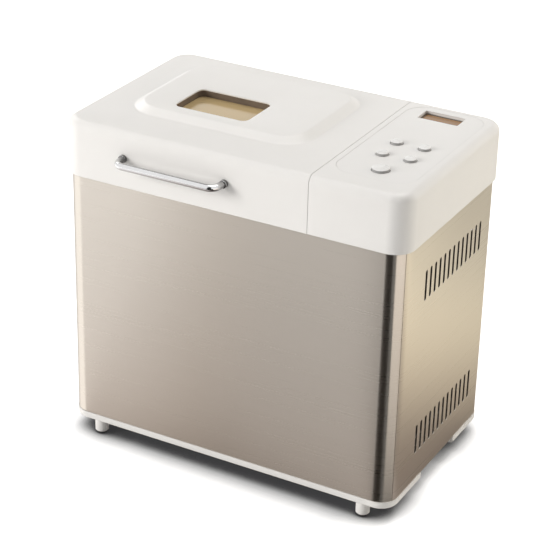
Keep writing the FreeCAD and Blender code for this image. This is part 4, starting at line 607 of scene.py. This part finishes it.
def seen_rays(nodes, links):
    """Grey value that is 1 for rays from the camera, from metal and through glass."""
    path = nodes.new("ShaderNodeLightPath")
    seen = path.outputs["Is Camera Ray"]
    for ray in ("Is Glossy Ray", "Is Transmission Ray"):
        either = nodes.new("ShaderNodeMath")
        either.operation = "MAXIMUM"
        links.new(seen, either.inputs[0])
        links.new(path.outputs[ray], either.inputs[1])
        seen = either.outputs[0]
    return seen


def floor_material():
    """White floor that keeps the lamps' shadow, with a contact shadow painted in by ambient occlusion,
    deepest where the machine almost touches it.
    """
    shader = Shader("studio_floor")
    speck = shader.noise(scale=120.0)
    tone = shader.colours(speck, [(0.3, grey(0.93)), (0.7, grey(0.95))])
    reach = shader.run(shader.axes(shader.coordinates)["X"], front_low.x, front_high.x, CONTACT_REACH)
    contact = shader.openness(reach, CONTACT_CLOSED, CONTACT_FREE, CONTACT_SAMPLES)
    # Painted contact shadow, darkening both the floor's colour and its glow
    dark = shader.colours(contact, [(0.0, PAINTED_CONTACT_SHADOW), (1.0, grey(1.0))])
    shader.surface("Base Color", shader.mix(1.0, tone, dark, "MULTIPLY"))
    shader.surface("Roughness", 0.9)
    shader.surface("Specular IOR Level", 0.0)
    seen = seen_rays(shader.nodes, shader.links)
    shader.surface("Emission Strength", shader.calculate("MULTIPLY", seen, FLOOR_LIFT))
    shader.surface("Emission Color", dark)
    return shader.material


def level_sheet(name, corners, height, material):
    """Flat level sheet on the stage."""
    mesh = bpy.data.meshes.new(name)
    mesh.from_pydata([(x, y, height) for x, y in corners], [], [tuple(range(len(corners)))])
    mesh.materials.append(material)
    sheet = bpy.data.objects.new(name, mesh)
    scene.collection.objects.link(sheet)
    return sheet


def rectangle(left, right, low, high):
    """Corners of a rectangle."""
    return [(left, low), (right, low), (right, high), (left, high)]


# Painted reflections: glowing cards that only polished surfaces see, in metres, with tones in linear light

CARD_REACH = 3.0
CARD_UNDER = 0.15
FAN_RUN = 0.55
SKIN_CORNER = 0.0175
SIDE_CARD_LEVEL = 0.0005
FRONT_CARD_LEVEL = 0.001

# Runs of tones: where a run starts and ends on its card, and the tones at shares of it
FRONT_TONES = [
    (0.0, grey(0.63)),
    (0.15, grey(0.55)),
    (0.35, grey(0.575)),
    (0.62, (0.66, 0.647, 0.632)),
    (1.0, (0.94, 0.95, 0.96)),
]
FRONT_ACROSS = (-0.16, 0.16, FRONT_TONES)
FRONT_ALONG = (0.0, 0.55, [(0.0, (0.40, 0.32, 0.27)), (0.25, (0.84, 0.75, 0.70)), (1.0, (1.12, 1.09, 1.07))])
SIDE_TONES = [
    (0.0, (0.20, 0.15, 0.12)),
    (0.27, (0.61, 0.51, 0.385)),
    (0.62, (1.36, 1.22, 0.93)),
    (1.0, (0.85, 0.78, 0.63)),
]
SIDE_ACROSS = (-0.05, 0.05, [(0.0, grey(0.79)), (1.0, grey(1.12))])
SIDE_ALONG = (0.08, 0.50, SIDE_TONES)

# Corner cards: name, side, turns of the skin in degrees, height, tones at the near and the far end
CORNER_CARDS = [
    ("right_dark_card", 1, (4.2, 35.0), 0.002, (0.022, 0.018, 0.014), (0.022, 0.018, 0.014)),
    ("right_light_card", 1, (35.0, 62.0), 0.003, (0.03, 0.025, 0.02), (1.34, 1.22, 1.10)),
    ("left_light_card", -1, (-9.0, -38.0), 0.003, (1.45, 1.38, 1.32), (1.5, 1.48, 1.45)),
    ("left_edge_card", -1, (-38.0, -62.0), 0.004, (0.72, 0.68, 0.64), (0.72, 0.68, 0.64)),
]


def card_material(name, across, along, lean=0.0):
    """Glowing card with one run of tones across it and one along it, which may lean on its low side."""
    shader = Shader(name)
    place = shader.axes(shader.coordinates)
    low_side = shader.calculate("MINIMUM", place["X"], 0.0)
    leaning = shader.calculate("MULTIPLY_ADD", low_side, lean, place["Y"])
    shader.glow(shader.mix(1.0, shader.run(place["X"], *across), shader.run(leaning, *along), "MULTIPLY"))
    return shader.material


def fan_material(name, centre, reach, stops):
    """Glowing card whose tone runs with the distance from a spot."""
    shader = Shader(name)
    distance = shader.nodes.new("ShaderNodeVectorMath")
    distance.operation = "DISTANCE"
    distance.inputs[1].default_value = centre
    shader.feed(distance.inputs[0], shader.coordinates)
    shader.glow(shader.run(distance.outputs["Value"], 0.0, reach, stops))
    return shader.material


def plain_material(name, tone):
    """Glowing card of one tone."""
    shader = Shader(name)
    shader.glow(tone)
    return shader.material


def reflection_card(name, spot, heading, corners, height, material):
    """Sheet turned to a heading that only polished surfaces see: a painted reflection."""
    card = level_sheet(name, corners, height, material)
    card.location = (*spot, 0.0)
    card.rotation_euler.z = heading
    card.visible_camera = False
    card.visible_diffuse = False
    card.visible_shadow = False
    card.visible_transmission = False
    return card


def upright_card(name, spot, heading, half_width, low, high, tone):
    """Upright card of one tone that only polished surfaces see: a painted reflection."""
    corners = rectangle(-half_width, half_width, low, high)
    card = reflection_card(name, spot, heading, corners, 0.0, plain_material(name, tone))
    card.rotation_euler.x = QUARTER


def corner_card(name, side, turns, height, near_tone, far_tone):
    """Glowing card on the floor that one stretch of a round front corner of the skin mirrors, painting its
    reflection from near to far.
    """
    middle_x = side * (front_high.x - SKIN_CORNER)
    middle_y = front_low.y + SKIN_CORNER
    near = []
    far = []
    for turn in (turns[0], sum(turns) / 2, turns[1]):
        angle = math.radians(turn)
        spot = Vector((middle_x + SKIN_CORNER * math.sin(angle), middle_y - SKIN_CORNER * math.cos(angle)))
        heading = 2 * angle - CAMERA_YAW
        near.append(spot)
        far.append(spot + CARD_REACH * Vector((math.sin(heading), -math.cos(heading))))
    corners = [near[0], *far, near[2]]
    stops = [(0.0, near_tone), (1.0, far_tone)]
    tones = fan_material(name, (middle_x, middle_y, height), FAN_RUN, stops)
    reflection_card(name, (0.0, 0.0), 0.0, corners, height, tones)


def place_cards():
    """Glowing cards that paint reflections of a room into the steel, and dark ones that paint dark reflected
    lines on the handle.
    """
    sheet = rectangle(-CARD_REACH, CARD_REACH, -CARD_UNDER, CARD_REACH)
    front = card_material("front_card", FRONT_ACROSS, FRONT_ALONG, lean=-2 * math.tan(CAMERA_YAW))
    reflection_card("front_card", (0.0, front_low.y), math.pi - CAMERA_YAW, sheet, FRONT_CARD_LEVEL, front)
    side = card_material("side_card", SIDE_ACROSS, SIDE_ALONG)
    reflection_card("side_card", (front_high.x, BODY_MIDDLE_Y), -CAMERA_YAW, sheet, SIDE_CARD_LEVEL, side)
    for values in CORNER_CARDS:
        corner_card(*values)
    upright_card("dark_reflection_card", spot=(0.20, -0.80), heading=math.radians(16), half_width=0.24, low=0.0,
                 high=1.3, tone=grey(0.03))
    upright_card("back_dark_reflection_card", spot=(-2.0, 2.5), heading=0.0, half_width=1.5, low=2.2, high=6.5,
                 tone=grey(0.05))


# Light

LAMP_WHITE = (1.0, 0.995, 0.985)
SKY_STRENGTH = 0.25
BODY_AIM = (0.0, 0.0, 0.2)
LID_AIM = (0.0, 0.0, 0.3)


def area_light(name, spot, aim, size, power, colour, soft=True, mirrored=True):
    """Square lamp pointed at a spot, which may be hidden from matt or from polished surfaces."""
    data = bpy.data.lights.new(name, "AREA")
    data.size = size
    data.energy = power
    data.color = colour
    lamp = bpy.data.objects.new(name, data)
    lamp.location = spot
    lamp.rotation_euler = (Vector(aim) - Vector(spot)).to_track_quat("-Z", "Y").to_euler()
    lamp.visible_diffuse = soft
    lamp.visible_glossy = mirrored
    scene.collection.objects.link(lamp)


def place_lamps():
    """A lamp above, one far at the front left, a warm one at the right and one for highlights at the left."""
    area_light("top_light", (0.1, 0.55, 1.95), BODY_AIM, size=1.3, power=14.2, colour=LAMP_WHITE)
    area_light("front_light", (-3.4, -3.4, 1.8), BODY_AIM, size=2.2, power=197.0, colour=(1.0, 0.985, 0.965),
               mirrored=False)
    area_light("right_light", (1.9, 1.2, 0.8), BODY_AIM, size=1.0, power=20.5, colour=(1.0, 0.935, 0.82),
               mirrored=False)
    area_light("left_light", (-1.8, 0.95, 1.4), LID_AIM, size=0.8, power=5.0, colour=(1.0, 0.99, 0.975),
               soft=False)


def light_world():
    """Even sky: white to the camera, metal and glass, plain soft light on the object."""
    world = bpy.data.worlds.new("studio")
    scene.world = world
    world.use_nodes = True
    nodes = world.node_tree.nodes
    links = world.node_tree.links
    background = nodes["Background"]
    background.inputs["Color"].default_value = (*LAMP_WHITE, 1.0)
    span = nodes.new("ShaderNodeMapRange")
    span.inputs["To Min"].default_value = SKY_STRENGTH
    span.inputs["To Max"].default_value = 1.0
    links.new(seen_rays(nodes, links), span.inputs["Value"])
    links.new(span.outputs["Result"], background.inputs["Strength"])


place_camera()
dress_nodes()
place_small_pieces()
floor_corners = rectangle(-FLOOR_HALF, FLOOR_HALF, -FLOOR_HALF, FLOOR_HALF)
level_sheet("studio_floor", floor_corners, FLOOR_LEVEL, floor_material())
place_cards()
light_world()
place_lamps()

scene.view_settings.view_transform = "Standard"
